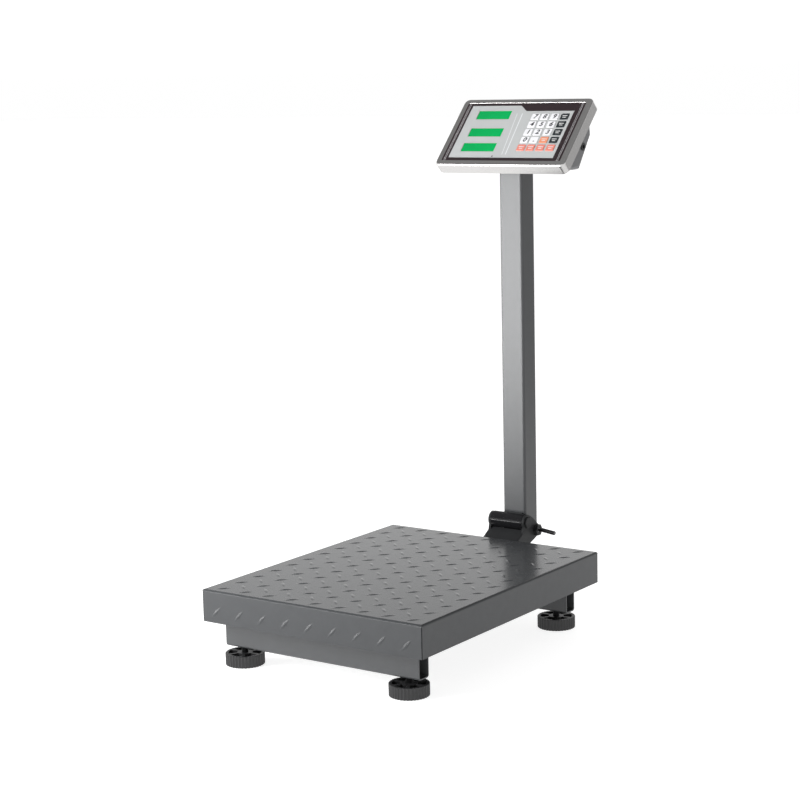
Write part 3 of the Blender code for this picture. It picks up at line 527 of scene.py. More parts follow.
class Bench:
    """Modelling by bpy.ops on one object at a time; each call first leaves edit mode."""

    SAME_POINT = 0.005 * MM
    SAME_PLANE = math.radians(1.0)
    SHARP = math.radians(25.0)
    HARD = math.radians(32.0)
    BLUNT = math.radians(80.0)
    LEVEL = 0.99
    ROUND_STEPS = 2
    FLAT_WEIGHT = 80

    @staticmethod
    def clear() -> None:
        """Leave edit mode and deselect everything."""
        if bpy.context.mode != "OBJECT":
            bpy.ops.object.mode_set(mode="OBJECT")
        bpy.ops.object.select_all(action="DESELECT")

    @classmethod
    def take(cls, obj: Object) -> None:
        """Make one object the only selected one, and the active one.

        Args:
            obj: the object.
        """
        cls.clear()
        obj.select_set(True)
        bpy.context.view_layer.objects.active = obj

    @classmethod
    def settle(cls, obj: Object) -> Object:
        """Put an object's place, turn and scale into its mesh.

        Args:
            obj: the object.

        Returns:
            The same object.
        """
        cls.take(obj)
        bpy.ops.object.transform_apply(location=True, rotation=True, scale=True)
        return obj

    @classmethod
    def box(cls, name: str, low: Vector, high: Vector) -> Object:
        """Add a cube between two corners.

        Args:
            name: the piece's name.
            low: its lowest corner.
            high: its highest corner.

        Returns:
            The new object, with its place in its mesh.
        """
        cls.clear()
        bpy.ops.mesh.primitive_cube_add(size=1.0, location=(low + high) / 2, scale=high - low)
        made = bpy.context.object
        made.name = name
        return cls.settle(made)

    @classmethod
    def edit(cls, obj: Object, mode: str) -> None:
        """Enter edit mode with nothing selected.

        Args:
            obj: the object.
            mode: what is selected by later calls, FACE or EDGE.
        """
        cls.take(obj)
        bpy.ops.object.mode_set(mode="EDIT")
        bpy.ops.mesh.select_mode(type=mode)
        bpy.ops.mesh.select_all(action="DESELECT")

    @classmethod
    def pick(cls, obj: Object, mode: str, test: Callable[[Any], bool]) -> None:
        """Select, in edit mode, some of an object's faces or edges.

        Args:
            obj: the object.
            mode: what is selected, FACE or EDGE.
            test: says whether a face or an edge is selected.
        """
        cls.edit(obj, mode)
        mesh = bmesh.from_edit_mesh(obj.data)
        for element in (mesh.faces if mode == "FACE" else mesh.edges):
            element.select_set(test(element))
        mesh.select_flush_mode()
        bmesh.update_edit_mesh(obj.data)

    @classmethod
    def pick_level(cls, obj: Object, side: int) -> None:
        """Select, in edit mode, the level faces that look up (side 1) or down (side -1)."""
        cls.pick(obj, "FACE", lambda face: face.normal.z * side > cls.LEVEL)

    @classmethod
    def pick_edges(cls, obj: Object, test: EdgeTest) -> None:
        """Select, in edit mode, the edges whose two ends pass a test."""
        cls.pick(obj, "EDGE", lambda edge: test(edge.verts[0].co, edge.verts[1].co))

    @classmethod
    def bevel_edges(cls, obj: Object, width: float, test: EdgeTest, steps: int = ROUND_STEPS) -> None:
        """Round, in some steps, the edges whose two ends pass a test."""
        cls.pick_edges(obj, test)
        bpy.ops.mesh.bevel(offset=width, segments=steps, affect="EDGES", clamp_overlap=True)

    @classmethod
    def modify(cls, obj: Object, kind: str, **settings: object) -> None:
        """Add one modifier and apply it.

        Args:
            obj: the object.
            kind: the modifier's type.
            settings: its properties.
        """
        cls.take(obj)
        added = obj.modifiers.new(kind.lower(), kind)
        for key, value in settings.items():
            setattr(added, key, value)
        bpy.ops.object.modifier_apply(modifier=added.name)

    @classmethod
    def cut(cls, first: Object, other: Object) -> None:
        """Cut a second body out of the first exactly, and remove it."""
        cls.modify(first, "BOOLEAN", operation="DIFFERENCE", solver="EXACT", object=other)
        bpy.data.objects.remove(other, do_unlink=True)

    @classmethod
    def shade(cls, obj: Object, angle: float) -> None:
        """Shade an object smooth, except at edges above an angle."""
        cls.take(obj)
        bpy.ops.object.shade_smooth_by_angle(angle=angle)

    @classmethod
    def smooth(cls, obj: Object) -> None:
        """Shade an object smooth, with its hard edges and its large flat faces kept."""
        cls.shade(obj, cls.HARD)
        cls.modify(obj, "WEIGHTED_NORMAL", weight=cls.FLAT_WEIGHT, keep_sharp=True)

    @classmethod
    def join(cls, name: str, parts: Sequence[Object]) -> Object:
        """Join several objects into one mesh.

        Args:
            name: the joined object's name.
            parts: the objects, of which the first takes in the others.

        Returns:
            The joined object.
        """
        cls.take(parts[0])
        for part in parts[1:]:
            part.select_set(True)
        bpy.ops.object.join()
        parts[0].name = name
        return parts[0]

    @classmethod
    def scatter(cls, name: str, model: Object, spots: Iterable[Matrix]) -> Object:
        """Copy a model to every spot, remove it and join the copies.

        Args:
            name: the joined object's name.
            model: the object that is copied.
            spots: where each copy lies.

        Returns:
            The joined copies.
        """
        copies = []
        for spot in spots:
            copy = bpy.data.objects.new("copy", model.data.copy())
            copy.data.transform(spot)
            bpy.context.scene.collection.objects.link(copy)
            copies.append(copy)
        bpy.data.objects.remove(model, do_unlink=True)
        return cls.join(name, copies)

    @classmethod
    def refine(cls, node: str, edge: Edge) -> Object:
        """Copy a CAD node, clean its faces and round its sharp edges.

        Args:
            node: the CAD node's name.
            edge: how widely its edges are rounded.

        Returns:
            A new object named after the node, ready to replace it.
        """
        made = bpy.data.objects.new(node + "_piece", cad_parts[node].data.copy())
        bpy.context.scene.collection.objects.link(made)
        cls.edit(made, "EDGE")
        bpy.ops.mesh.select_all(action="SELECT")
        bpy.ops.mesh.remove_doubles(threshold=cls.SAME_POINT)
        bpy.ops.mesh.dissolve_limited(angle_limit=cls.SAME_PLANE)
        bpy.ops.mesh.select_all(action="DESELECT")
        if edge is not Edge.NONE:
            bpy.ops.mesh.edges_select_sharp(sharpness=cls.SHARP)
            bpy.ops.mesh.bevel(
                offset=edge.value * MM, segments=cls.ROUND_STEPS, affect="EDGES", clamp_overlap=True)
        cls.smooth(made)
        return made


def dress(obj: Object, material: Material) -> None:
    """Give an object one material."""
    obj.data.materials.clear()
    obj.data.materials.append(material)


def settle_piece(obj: Object, material: Material, body: str, slot: Slot, *nodes: str) -> None:
    """Dress a new piece, hang it on its body, hide the CAD nodes it replaces and log its body.

    Args:
        obj: the piece, in place.
        material: its finish.
        body: the CAD body it rides on.
        slot: the record's slot for its finish; not used.
        nodes: the CAD nodes it replaces.
    """
    dress(obj, material)
    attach(obj, body)
    if nodes:
        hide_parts(*nodes)
    LOG.info("%s rides on %s", obj.name, body)


def refit(node: str, edge: Edge, material: Material, body: str, slot: Slot) -> None:
    """Refine a CAD node and let the new piece stand for it."""
    settle_piece(Bench.refine(node, edge), material, body, slot, node)


def look(finish: Finish) -> Any:
    """Return a dataclass field for a finish's material, which is made with its owner."""
    return field(default_factory=finish.make)


@dataclass
class Finishes:
    """The materials of the scale that need nothing from the frame, each made once."""

    paint: Material = look(PowderPaint("charcoal_paint_look", (0.056, 0.058, 0.061), (0.042, 0.044, 0.046)))
    pan: Material = look(PowderPaint(
        "pan_paint_look", (0.052, 0.054, 0.057), (0.038, 0.04, 0.042), 0.22, relief=0.03, shine=0.3))
    hinge: Material = look(PowderPaint(
        "hinge_paint_look", (0.022, 0.023, 0.024), (0.015, 0.015, 0.016), 0.5, shine=0.2))
    gloss: Material = look(PowderPaint(
        "gloss_black_look", (0.012, 0.012, 0.013), (0.005, 0.005, 0.006), 0.09,
        peel=320.0, relief=0.02, shine=0.3))
    zinc: Material = look(BrushedMetal("zinc_look", (0.5, 0.51, 0.53), (0.34, 0.35, 0.37), 0.38))
    lock: Material = look(BrushedMetal("lock_look", (0.12, 0.12, 0.125), (0.07, 0.07, 0.072), 0.25))
    thread: Material = look(ThreadedRod("thread_look", (0.06, 0.06, 0.062), (0.015, 0.015, 0.016)))
    alloy: Material = look(BrushedMetal("alloy_look", (0.72, 0.73, 0.74), (0.58, 0.59, 0.6), 0.36))
    steel: Material = look(BrushedMetal(
        "stainless_look", (0.6, 0.592, 0.585), (0.5, 0.492, 0.487), 0.24, relief=0.02))
    rubber: Material = look(MouldedPlastic("rubber_look", (0.024, 0.024, 0.025), (0.012, 0.012, 0.012), 0.8))
    pad: Material = look(MouldedPlastic("pad_plastic_look", (0.02, 0.02, 0.021), (0.01, 0.01, 0.011), 0.42))
    cover: Material = look(MouldedPlastic(
        "cover_plastic_look", (0.17, 0.17, 0.175), (0.12, 0.12, 0.125), 0.46))
    board: Material = look(MouldedPlastic("board_look", (0.02, 0.2, 0.07), (0.01, 0.12, 0.04), 0.4))
    battery: Material = look(MouldedPlastic("battery_look", (0.12, 0.12, 0.13), (0.08, 0.08, 0.085), 0.55))
    white: Material = look(KeyCap("white_key_look", (0.7, 0.7, 0.72), (0.64, 0.64, 0.66)))
    dark: Material = look(KeyCap("dark_key_look", (0.02, 0.027, 0.03), (0.01, 0.014, 0.016)))
    orange: Material = look(KeyCap("orange_key_look", (0.67, 0.25, 0.14), (0.6, 0.2, 0.105)))
    red: Material = look(KeyCap("red_key_look", (0.65, 0.22, 0.17), (0.58, 0.17, 0.135)))
    ink: Material = look(Ink("ink_look", (0.02, 0.022, 0.026), (0.012, 0.012, 0.014)))
    pale_ink: Material = look(Ink("pale_ink_look", (0.62, 0.62, 0.62), (0.55, 0.55, 0.55)))


@dataclass
class Platform:
    """The folded tread-plate pan and the frame under it."""

    finishes: Finishes
    sheet: float = 2.0 * MM
    bend: float = 3.5 * MM
    bend_steps: int = 5
    seam: float = 1.0 * MM
    seam_reach: float = 0.6
    upright: float = 30.0 * MM
    rise: float = 1.2 * MM
    bar_length: float = 28.0 * MM
    bar_width: float = 6.6 * MM
    bar_height: float = 0.8 * MM
    bar_fade: float = 0.3
    bar_taper: float = 0.5
    cross_height: float = 0.4
    bar_rings: int = 4
    bar_sides: int = 12
    pitch: tuple[float, float] = (43.3 * MM, 42.2 * MM)
    columns: int = 9
    rows: int = 12
    skirt_row: float = 33.0 * MM
    tubes: tuple[str, ...] = (
        "front_cross_tube", "rear_cross_tube", "base_spine", "hinge_outrigger", "weigh_spine",
        "weigh_rail_front", "weigh_rail_rear")

    def build(self) -> None:
        """Build the pan and its bars, and dress the frame below."""
        self.low, self.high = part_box("platform_pan")
        self.top = self.high.z - self.rise
        self.front = self.low.y + self.rise
        settle_piece(self.pan(), self.finishes.pan, "base", Slot.PAINT, "platform_pan")
        settle_piece(self.bars(), self.finishes.pan, "base", Slot.PAINT)
        for node in self.tubes:
            refit(node, Edge.PLAIN, self.finishes.paint, "base", Slot.PAINT)
        dress(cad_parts["load_cell"], self.finishes.alloy)
        for corner in CORNERS:
            dress(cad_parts["bumper_" + corner], self.finishes.rubber)

    def stands(self, a: Vector, b: Vector) -> bool:
        """Return whether an edge between two points is an upright one of the pan's corners."""
        return abs(a.z - b.z) > self.upright

    def pan(self) -> Object:
        """Fold the pan: an open box with bent edges and a slit at each corner.

        Returns:
            The pan.
        """
        low = Vector((self.low.x, self.front, self.low.z))
        high = Vector((self.high.x, self.high.y, self.top))
        pan = Bench.box("pan_sheet", low, high)
        Bench.bevel_edges(pan, self.bend, lambda a, b: min(a.z, b.z) > self.top - MM, self.bend_steps)
        Bench.bevel_edges(pan, self.seam, self.stands)
        for x in (low.x, high.x):
            for y in (low.y, high.y):
                self.groove(pan, Vector((x, y, 0.0)))
        Bench.pick_level(pan, -1)
        bpy.ops.mesh.delete(type="FACE")
        Bench.modify(pan, "SOLIDIFY", thickness=self.sheet, offset=-1.0, use_even_offset=True)
        Bench.smooth(pan)
        return pan

    def groove(self, pan: Object, corner: Vector) -> None:
        """Sink the seam where two skirts meet at a corner.

        Args:
            pan: the pan, with its upright edges bevelled in two steps.
            corner: the corner's place; its height doesn't matter.
        """
        def on_seam(a: Vector, b: Vector) -> bool:
            """Return whether an upright edge is the middle one of this corner."""
            near = max(abs(a.x - corner.x), abs(a.y - corner.y)) < self.seam_reach * self.seam
            return near and self.stands(a, b)

        Bench.pick_edges(pan, on_seam)
        inward = (-math.copysign(self.seam, corner.x), -math.copysign(self.seam, corner.y), 0.0)
        bpy.ops.transform.translate(value=inward)

    def bar(self) -> Object:
        """Model one raised bar, a low lens that runs out softly into the sheet, lying along X.

        Returns:
            The bar, at the origin.
        """
        Bench.clear()
        bpy.ops.mesh.primitive_circle_add(
            vertices=self.bar_sides, radius=1.0, fill_type="TRIFAN", location=(0, 0, 0))
        bar = bpy.context.object
        mesh = bmesh.new()
        mesh.from_mesh(bar.data)
        spokes = [edge for edge in mesh.edges if min(vertex.co.length for vertex in edge.verts) < 0.5]
        bmesh.ops.subdivide_edges(mesh, edges=spokes, cuts=self.bar_rings - 1)
        for vertex in mesh.verts:
            reach = min(vertex.co.length, 1.0)
            fade = 1.0 - self.bar_fade * vertex.co.x ** 2
            vertex.co.z = (0.5 + 0.5 * math.cos(math.pi * reach)) * fade
            vertex.co.y *= 1.0 - self.bar_taper * vertex.co.x ** 2
        mesh.to_mesh(bar.data)
        mesh.free()
        bar.scale = (self.bar_length / 2, self.bar_width / 2, self.bar_height)
        return Bench.settle(bar)

    def spots(self) -> Iterable[Matrix]:
        """Place the bars: both leans on the top, and one row on the front skirt.

        Yields:
            Where each bar lies.
        """
        middle = (self.front + self.high.y) / 2
        for lean, height in ((1, 1.0), (-1, self.cross_height)):
            low = Matrix.Diagonal((1.0, 1.0, height, 1.0))
            turn = Matrix.Rotation(lean * math.pi / 4, 4, "Z")
            columns = self.columns - (lean < 0)
            rows = self.rows - (lean < 0)
            for column in range(columns):
                for row in range(rows):
                    x = (column - (columns - 1) / 2) * self.pitch[0]
                    y = middle + (row - (rows - 1) / 2) * self.pitch[1]
                    yield Matrix.Translation((x, y, self.top)) @ turn @ low
        stand = Matrix.Rotation(math.pi / 2, 4, "X") @ Matrix.Rotation(math.pi / 4, 4, "Z")
        for column in range(self.columns):
            x = (column - (self.columns - 1) / 2) * self.pitch[0]
            yield Matrix.Translation((x, self.front, self.top - self.skirt_row)) @ stand

    def bars(self) -> Object:
        """Copy the bar to every spot.

        Returns:
            All bars as one object.
        """
        bars = Bench.scatter("tread_bars", self.bar(), self.spots())
        Bench.shade(bars, Bench.BLUNT)
        return bars


@dataclass
class Feet:
    """The four levelling feet."""

    finishes: Finishes

    def build(self) -> None:
        """Refine each pad and stud from its CAD node."""
        for corner in CORNERS:
            pad = "foot_pad_" + corner
            stud = "foot_stud_" + corner
            refit(pad, Edge.PLAIN, self.finishes.pad, pad, Slot.PLASTIC)
            refit(stud, Edge.SMALL, self.finishes.thread, stud, Slot.ZINC)


@dataclass
class FoldingHinge:
    """The bracket, barrel, pin and spring lock at the column's foot."""

    finishes: Finishes
    bead: float = 2.4 * MM
    bead_sides: int = 12
    bead_rings: int = 6
    bead_width: float = 0.75
    bead_step: float = 1.1
    wobble: float = 0.12
    wobble_rate: float = 2.7
    voxel: float = 0.22
    weld_inset: float = 1.0 * MM
    middle_weld: float = 46.0 * MM
    saddle_side: float = 17.2 * MM
    saddle_foot: float = 3.0 * MM
    saddle_top: float = 4.0 * MM
    nut_width: float = 17.0 * MM
    nut_depth: float = 2.3 * MM
    nut_inset: float = 0.1 * MM
    nut_edge: float = 0.6 * MM

    def build(self) -> None:
        """Refine the hinge's pieces from their CAD nodes and add the welds and the nut."""
        looks = self.finishes
        refit("hinge_bracket", Edge.SOFT, looks.hinge, "base", Slot.GLOSS)
        refit("hinge_barrel", Edge.SOFT, looks.gloss, "column", Slot.GLOSS)
        refit("lock_pin", Edge.PLAIN, looks.lock, "lock", Slot.GLOSS)
        settle_piece(self.pin(), looks.hinge, "base", Slot.GLOSS, "hinge_pin")
        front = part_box("hinge_bracket")[0].y
        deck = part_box("hinge_outrigger")[1].z
        low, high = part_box("hinge_barrel")
        for name, y in (("front", front), ("middle", front + self.middle_weld)):
            ends = [Vector((x, y, deck)) for x in (low.x + self.weld_inset, high.x - self.weld_inset)]
            settle_piece(self.weld("bracket_weld_" + name, *ends), looks.hinge, "base", Slot.GLOSS)
        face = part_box("column_tube")[0].y
        for name, x in (("left", -self.saddle_side), ("right", self.saddle_side)):
            ends = [Vector((x, face, z)) for z in (low.z + self.saddle_foot, high.z - self.saddle_top)]
            settle_piece(self.weld("saddle_weld_" + name, *ends), looks.gloss, "column", Slot.GLOSS)

    def pin(self) -> Object:
        """Refine the hinge pin and turn its right head into a hexagon nut.

        Returns:
            The pin with its nut.
        """
        pin = Bench.refine("hinge_pin", Edge.PLAIN)
        low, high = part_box("hinge_pin")
        middle = (low + high) / 2
        place = (high.x - self.nut_inset - self.nut_depth / 2, middle.y, middle.z)
        Bench.clear()
        bpy.ops.mesh.primitive_cylinder_add(
            vertices=6, radius=self.nut_width / math.sqrt(3.0), depth=self.nut_depth, location=place,
            rotation=(0.0, math.pi / 2, 0.0))
        nut = Bench.settle(bpy.context.object)
        Bench.bevel_edges(nut, self.nut_edge, lambda a, b: abs(a.x - b.x) < self.nut_depth / 2)
        return Bench.join("hinge_pin_piece", [pin, nut])

    def weld(self, name: str, start: Vector, end: Vector) -> Object:
        """Lay one lumpy weld bead.

        Args:
            name: the piece's name.
            start: the bead's first end.
            end: its other end.

        Returns:
            The bead, in place.
        """
        Bench.clear()
        bpy.ops.mesh.primitive_uv_sphere_add(
            segments=self.bead_sides, ring_count=self.bead_rings, radius=1.0)
        drop = bpy.context.object
        width = self.bead * self.bead_width
        drop.scale = (width, width, self.bead)
        Bench.settle(drop)
        span = end - start
        turn = span.to_track_quat("Z", "Y").to_matrix().to_4x4()
        count = max(2, round(span.length / (self.bead * self.bead_step)))
        spots = []
        for i in range(count):
            place = Matrix.Translation(start.lerp(end, (i + 0.5) / count))
            swell = Matrix.Scale(1.0 + self.wobble * math.sin(self.wobble_rate * i), 4)
            spots.append(place @ turn @ swell)
        bead = Bench.scatter(name, drop, spots)
        Bench.modify(bead, "REMESH", mode="VOXEL", voxel_size=self.bead * self.voxel)
        Bench.modify(bead, "SMOOTH", factor=0.5, iterations=2)
        Bench.shade(bead, Bench.BLUNT)
        return bead


@dataclass
class Column:
    """The square column and its neck."""

    finishes: Finishes

    def build(self) -> None:
        """Refine the column's pieces from their CAD nodes."""
        refit("column_tube", Edge.NONE, self.finishes.paint, "column", Slot.PAINT)
        refit("column_neck", Edge.PLAIN, self.finishes.gloss, "column", Slot.GLOSS)


@dataclass
class Head:
    """The tilting head: bezel, cover, overlay, displays and keys."""

    finishes: Finishes
    angle: float = math.radians(46.0)
    silver: tuple[Color, Color] = ((0.42, 0.428, 0.428), (0.35, 0.362, 0.366))
    green: tuple[Color, Color] = ((0.0, 0.26, 0.06), (0.0, 0.21, 0.05))
    lip_side: float = 4.0 * MM
    lip_end: float = 1.5 * MM
    lip_top: float = -0.03 * MM
    lip_depth: float = 0.5 * MM
    lip_seat: float = 3.0 * MM
    lip_corner: float = 5.0 * MM
    lip_steps: int = 6
    well_corner: float = 2.0 * MM
    well_steps: int = 4
    well_half: float = 1.0 * MM
    face_drop: float = 1.05 * MM
    key_top: float = 1.95 * MM
    digit_size: float = 12.5 * MM
    digit_weight: float = 0.2 * MM
    digit_edge: float = 0.15 * MM
    digit_slant: float = 0.2
    ink: float = 0.1 * MM
    mark_bars: tuple[tuple[float, float], ...] = ((9.0 * MM, 1.8 * MM), (6.5 * MM, -1.8 * MM))
    mark_half: float = 0.75 * MM
    mark_corner: float = 0.5 * MM
    flange: float = 19.5 * MM
    screw_reach: float = 60.0 * MM
    screw_inset: float = 5.6 * MM
    screw_radius: float = 3.0 * MM
    screw_height: float = 2.4 * MM
    screw_sides: int = 20
    screw_edge: float = 0.5 * MM
    drive_rim: float = 1.1 * MM
    drive_depth: float = 1.2 * MM

    def build(self) -> None:
        """Build the head's pieces."""
        looks = self.finishes
        low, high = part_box("overlay")
        self.middle = (low + high) / 2
        self.half = Vector(((high.x - low.x) / 2, (high.z - low.z) / 2 / math.sin(self.angle), 0.0))
        self.out = Vector((0.0, -math.sin(self.angle), math.cos(self.angle)))
        self.lean = Matrix.Rotation(self.angle, 4, "X")
        bezel = Bench.join("bezel_piece", [Bench.refine("bezel", Edge.RIM), self.lip()])
        settle_piece(bezel, looks.steel, "head", Slot.STEEL, "bezel")
        refit("rear_cover", Edge.SOFT, looks.cover, "head", Slot.COVER)
        refit("dc_inlet", Edge.SMALL, looks.pad, "head", Slot.PLASTIC)
        overlay = OverlayPrint(
            "overlay_look", *self.silver, angle=self.angle, middle=self.middle, half=self.half)
        refit("overlay", Edge.NONE, overlay.make(), "head", Slot.OVERLAY)
        low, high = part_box("lcd_weight")
        lcd = LiquidCrystal("lcd_look", *self.green, left=low.x, right=high.x).make()
        for node in ("lcd_weight", "lcd_price", "lcd_total"):
            refit(node, Edge.GLASS, lcd, "head", Slot.LCD)
        dress(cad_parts["circuit_board"], looks.board)
        dress(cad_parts["battery"], looks.battery)
        dress(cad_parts["tilt_bolt"], looks.zinc)
        self.keys()
        self.screws()

    def lip(self) -> Object:
        """Make the bezel's inner lip, a low frame that slopes down onto the overlay.

        Returns:
            The lip, in place.
        """
        outer = self.half + Vector((self.lip_seat, self.lip_seat, 0.0))
        top = Vector((0.0, 0.0, self.lip_top))
        lip = Bench.box("lip", top - outer - Vector((0.0, 0.0, self.lip_depth)), top + outer)
        Bench.bevel_edges(
            lip, self.lip_corner, lambda a, b: abs(a.z - b.z) > self.lip_depth / 2, self.lip_steps)
        inner = self.half - Vector((self.lip_side, self.lip_end, 0.0))
        deep = Vector((0.0, 0.0, self.well_half))
        well = Bench.box("well", -inner - deep, inner + deep)
        Bench.bevel_edges(
            well, self.well_corner, lambda a, b: abs(a.z - b.z) > self.well_half, self.well_steps)
        Bench.pick_level(well, 1)
        grown = [(side + 2 * self.well_half) / side for side in inner.xy]
        bpy.ops.transform.resize(value=(*grown, 1.0))
        Bench.cut(lip, well)
        lip.data.transform(Matrix.Translation(self.middle + self.out * self.face_drop) @ self.lean)
        Bench.smooth(lip)
        return lip

    def key_finish(self, node: str) -> tuple[Material, Slot]:
        """Return a key's material and slot by the colour in its name, which a white key lacks."""
        kind = next((word for word in ("dark", "orange", "red") if word in node), "white")
        return getattr(self.finishes, kind), Slot("key_" + kind)

    def keys(self) -> None:
        """Refine each key and print its mark."""
        for node in sorted(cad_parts):
            if not node.startswith("key_"):
                continue
            material, slot = self.key_finish(node)
            refit(node, Edge.FINE, material, node, slot)
            low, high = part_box(node)
            mark = node.rsplit("_", 1)[-1]
            if slot is Slot.WHITE_KEY:
                self.digit(node, "." if mark == "point" else mark, (low + high) / 2)
            else:
                self.bars(node, (low + high) / 2)

    def digit(self, node: str, text: str, middle: Vector) -> None:
        """Print one digit on a key.

        Args:
            node: the key's node and body.
            text: the digit or the point.
            middle: the middle of the key's box.
        """
        Bench.clear()
        bpy.ops.object.text_add(location=(0, 0, 0))
        label = bpy.context.object
        font = label.data
        font.body = text
        font.size = self.digit_size
        font.align_x = font.align_y = "CENTER"
        font.extrude = self.ink
        font.offset = self.digit_weight
        font.bevel_depth = self.digit_edge
        font.bevel_resolution = 0
        font.shear = self.digit_slant
        Bench.take(label)
        bpy.ops.object.convert(target="MESH")
        label = bpy.context.object
        label.name = node + "_digit"
        self.lay(label, middle)
        settle_piece(label, self.finishes.ink, node, Slot.DARK_KEY)

    def bars(self, node: str, middle: Vector) -> None:
        """Print two plain bars on a key that has no digit.

        Args:
            node: the key's node and body.
            middle: the middle of the key's box.
        """
        parts = []
        for length, up in self.mark_bars:
            place = Vector((0.0, up, 0.0))
            half = Vector((length / 2, self.mark_half, self.ink))
            bar = Bench.box("bar", place - half, place + half)
            Bench.bevel_edges(bar, self.mark_corner, lambda a, b: abs(a.z - b.z) > self.ink)
            parts.append(bar)
        mark = Bench.join(node + "_bars", parts)
        self.lay(mark, middle)
        settle_piece(mark, self.finishes.pale_ink, node, Slot.WHITE_KEY)

    def lay(self, mark: Object, middle: Vector) -> None:
        """Turn a mark drawn flat at the origin onto the top of a key."""
        mark.matrix_world = Matrix.Translation(middle + self.out * self.key_top) @ self.lean
        Bench.settle(mark)

    def screws(self) -> None:
        """Put a screw in each corner of the rear cover's flange."""
        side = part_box("rear_cover")[1].x - self.screw_inset
        up = Vector((0.0, math.cos(self.angle), math.sin(self.angle)))
        flange = self.middle - self.out * self.flange
        for end, y in (("top", 1), ("low", -1)):
            for hand, x in (("left", -1), ("right", 1)):
                place = flange + up * (y * self.screw_reach)
                place.x = x * side
                screw = self.screw(f"cover_screw_{end}_{hand}", place)
                settle_piece(screw, self.finishes.zinc, "head", Slot.ZINC)

    def screw(self, name: str, place: Vector) -> Object:
        """Model one screw head with its round drive.

        Args:
            name: the screw's name.
            place: the middle of its head.

        Returns:
            The screw, which looks back and down.
        """
        Bench.clear()
        bpy.ops.mesh.primitive_cylinder_add(
            vertices=self.screw_sides, radius=self.screw_radius, depth=self.screw_height,
            location=(0, 0, 0))
        screw = bpy.context.object
        Bench.bevel_edges(screw, self.screw_edge, lambda a, b: min(a.z, b.z) > 0.0)
        Bench.pick_level(screw, 1)
        bpy.ops.mesh.inset(thickness=self.drive_rim)
        bpy.ops.transform.translate(value=(0.0, 0.0, -self.drive_depth))
        turn = (-self.out).to_track_quat("Z", "Y").to_matrix().to_4x4()
        screw.matrix_world = Matrix.Translation(place) @ turn
        Bench.settle(screw)
        screw.name = name
        Bench.smooth(screw)
        return screw


@dataclass(frozen=True)
class Board:
    """A flat board of the studio: the floor, or a card that shows only in the scale's reflections."""

    name: str
    place: Place
    size: tuple[float, float]
    glow: float
    light: Color = (0.03, 0.03, 0.03)
    dark: Color = (0.02, 0.02, 0.02)
    tilt: float = 0.0
    turn: float = -AZIMUTH
    seen: bool = False

    def build(self) -> None:
        """Place the board."""
        Bench.clear()
        bpy.ops.mesh.primitive_plane_add(size=1.0, location=self.place, rotation=(self.tilt, 0.0, self.turn))
        board = bpy.context.object
        board.name = self.name
        board.scale = (*self.size, 1.0)
        Bench.settle(board)
        dress(board, GlowingBoard(self.name + "_look", self.light, self.dark, glow=self.glow).make())
        board.visible_camera = board.visible_shadow = board.visible_diffuse = self.seen


@dataclass(frozen=True)
class SoftBox:
    """A square area light that faces the scale and doesn't show in its reflections."""

    name: str
    place: Place
    size: float
    power: float
    target: Place = (0.0, 0.0, 0.4)

    def build(self) -> None:
        """Place the light."""
        data = bpy.data.lights.new(self.name, "AREA")
        data.size = self.size
        data.energy = self.power
        made = bpy.data.objects.new(self.name, data)
        aim = Vector(self.target) - Vector(self.place)
        turn = aim.to_track_quat("-Z", "Y").to_matrix().to_4x4()
        made.matrix_world = Matrix.Translation(self.place) @ turn
        made.visible_camera = made.visible_glossy = False
        bpy.context.scene.collection.objects.link(made)


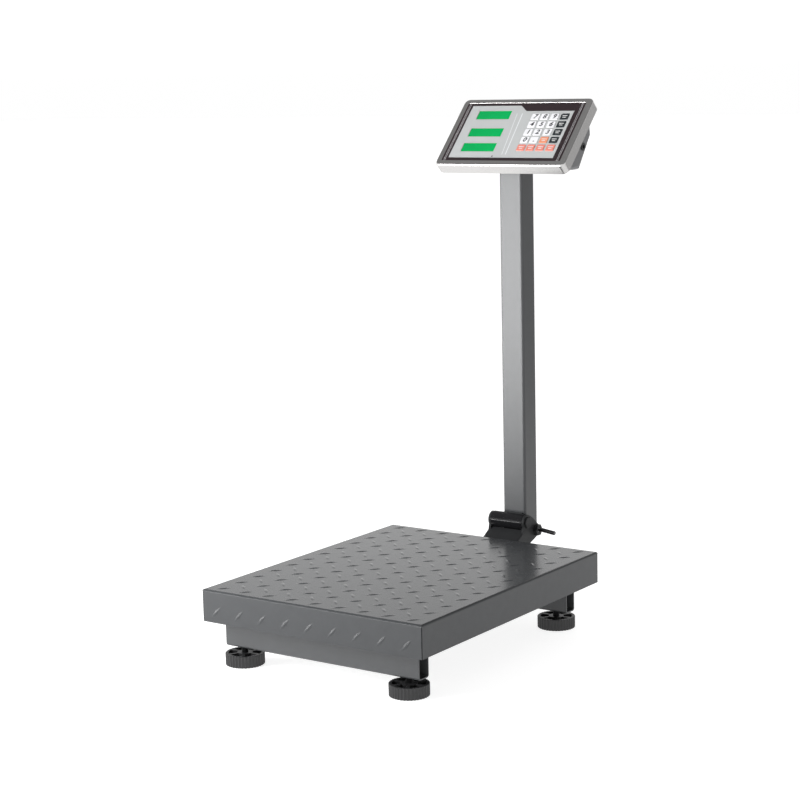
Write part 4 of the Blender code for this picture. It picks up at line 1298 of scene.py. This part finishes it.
@dataclass
class Studio:
    """The floor, the cards, the lights and the camera at the photograph's angle."""

    lens: float = 90.0
    sensor: float = 36.0
    place: Place = (1.7301, -2.548, 0.8795)
    elevation: float = math.radians(9.31)
    roll: float = math.radians(-1.256)
    boards: tuple[Board, ...] = (
        Board("floor", (0.0, 0.0, -0.5 * MM), (60.0, 60.0), 0.85, (0.51, 0.51, 0.51), (0.49, 0.49, 0.49),
              turn=0.0, seen=True),
        Board("dark_card", (1.1, 1.75, 0.6), (2.0, 1.2), 0.5, tilt=math.pi / 2),
        Board("bright_card", (-4.5, -6.9, 0.002), (4.0, 13.0), 18.0))
    lights: tuple[SoftBox, ...] = (
        SoftBox("key", (-1.1, -1.2, 0.8), 1.0, 54.0), SoftBox("back", (-1.6, 3.0, 2.2), 2.0, 20.0))
    tones: tuple[tuple[float, float], ...] = (
        (0.0, 0.9), (0.5, 1.0), (0.555, 1.5), (0.6, 1.5), (0.68, 0.3), (0.85, 0.3), (1.0, 0.35))

    def build(self) -> None:
        """Set up the camera, the floor, the cards and the lights."""
        self.camera()
        for board in self.boards:
            board.build()
        self.surround()
        for light in self.lights:
            light.build()
        bpy.context.scene.view_settings.view_transform = "Standard"

    def camera(self) -> None:
        """Place the camera."""
        data = bpy.data.cameras.new("camera")
        data.lens = self.lens
        data.sensor_width = self.sensor
        made = bpy.data.objects.new("camera", data)
        turn = Matrix.Rotation(AZIMUTH, 4, "Z") @ Matrix.Rotation(math.pi / 2 - self.elevation, 4, "X")
        made.matrix_world = Matrix.Translation(self.place) @ turn @ Matrix.Rotation(self.roll, 4, "Z")
        bpy.context.scene.collection.objects.link(made)
        bpy.context.scene.camera = made

    def surround(self) -> None:
        """Make the studio round the scale: white near the floor and grey overhead."""
        world = bpy.data.worlds.new("studio")
        world.use_nodes = True
        graph = Graph(world.node_tree)
        where = graph.node("ShaderNodeTexCoord", {}, {}, "Generated")
        height = graph.split(where)[2] * 0.5 + 0.5
        tone = graph.node("ShaderNodeValToRGB", {"stops": self.tones}, {0: height})
        graph.feed(world.node_tree.nodes["Background"].inputs["Color"], tone)
        bpy.context.scene.world = world


def main() -> None:
    """Build the scale's looks in order."""
    logging.basicConfig(level=logging.INFO)
    finishes = Finishes()
    Studio().build()
    for assembly in (Platform, Feet, FoldingHinge, Column, Head):
        assembly(finishes).build()


if __name__ == "__main__":
    main()
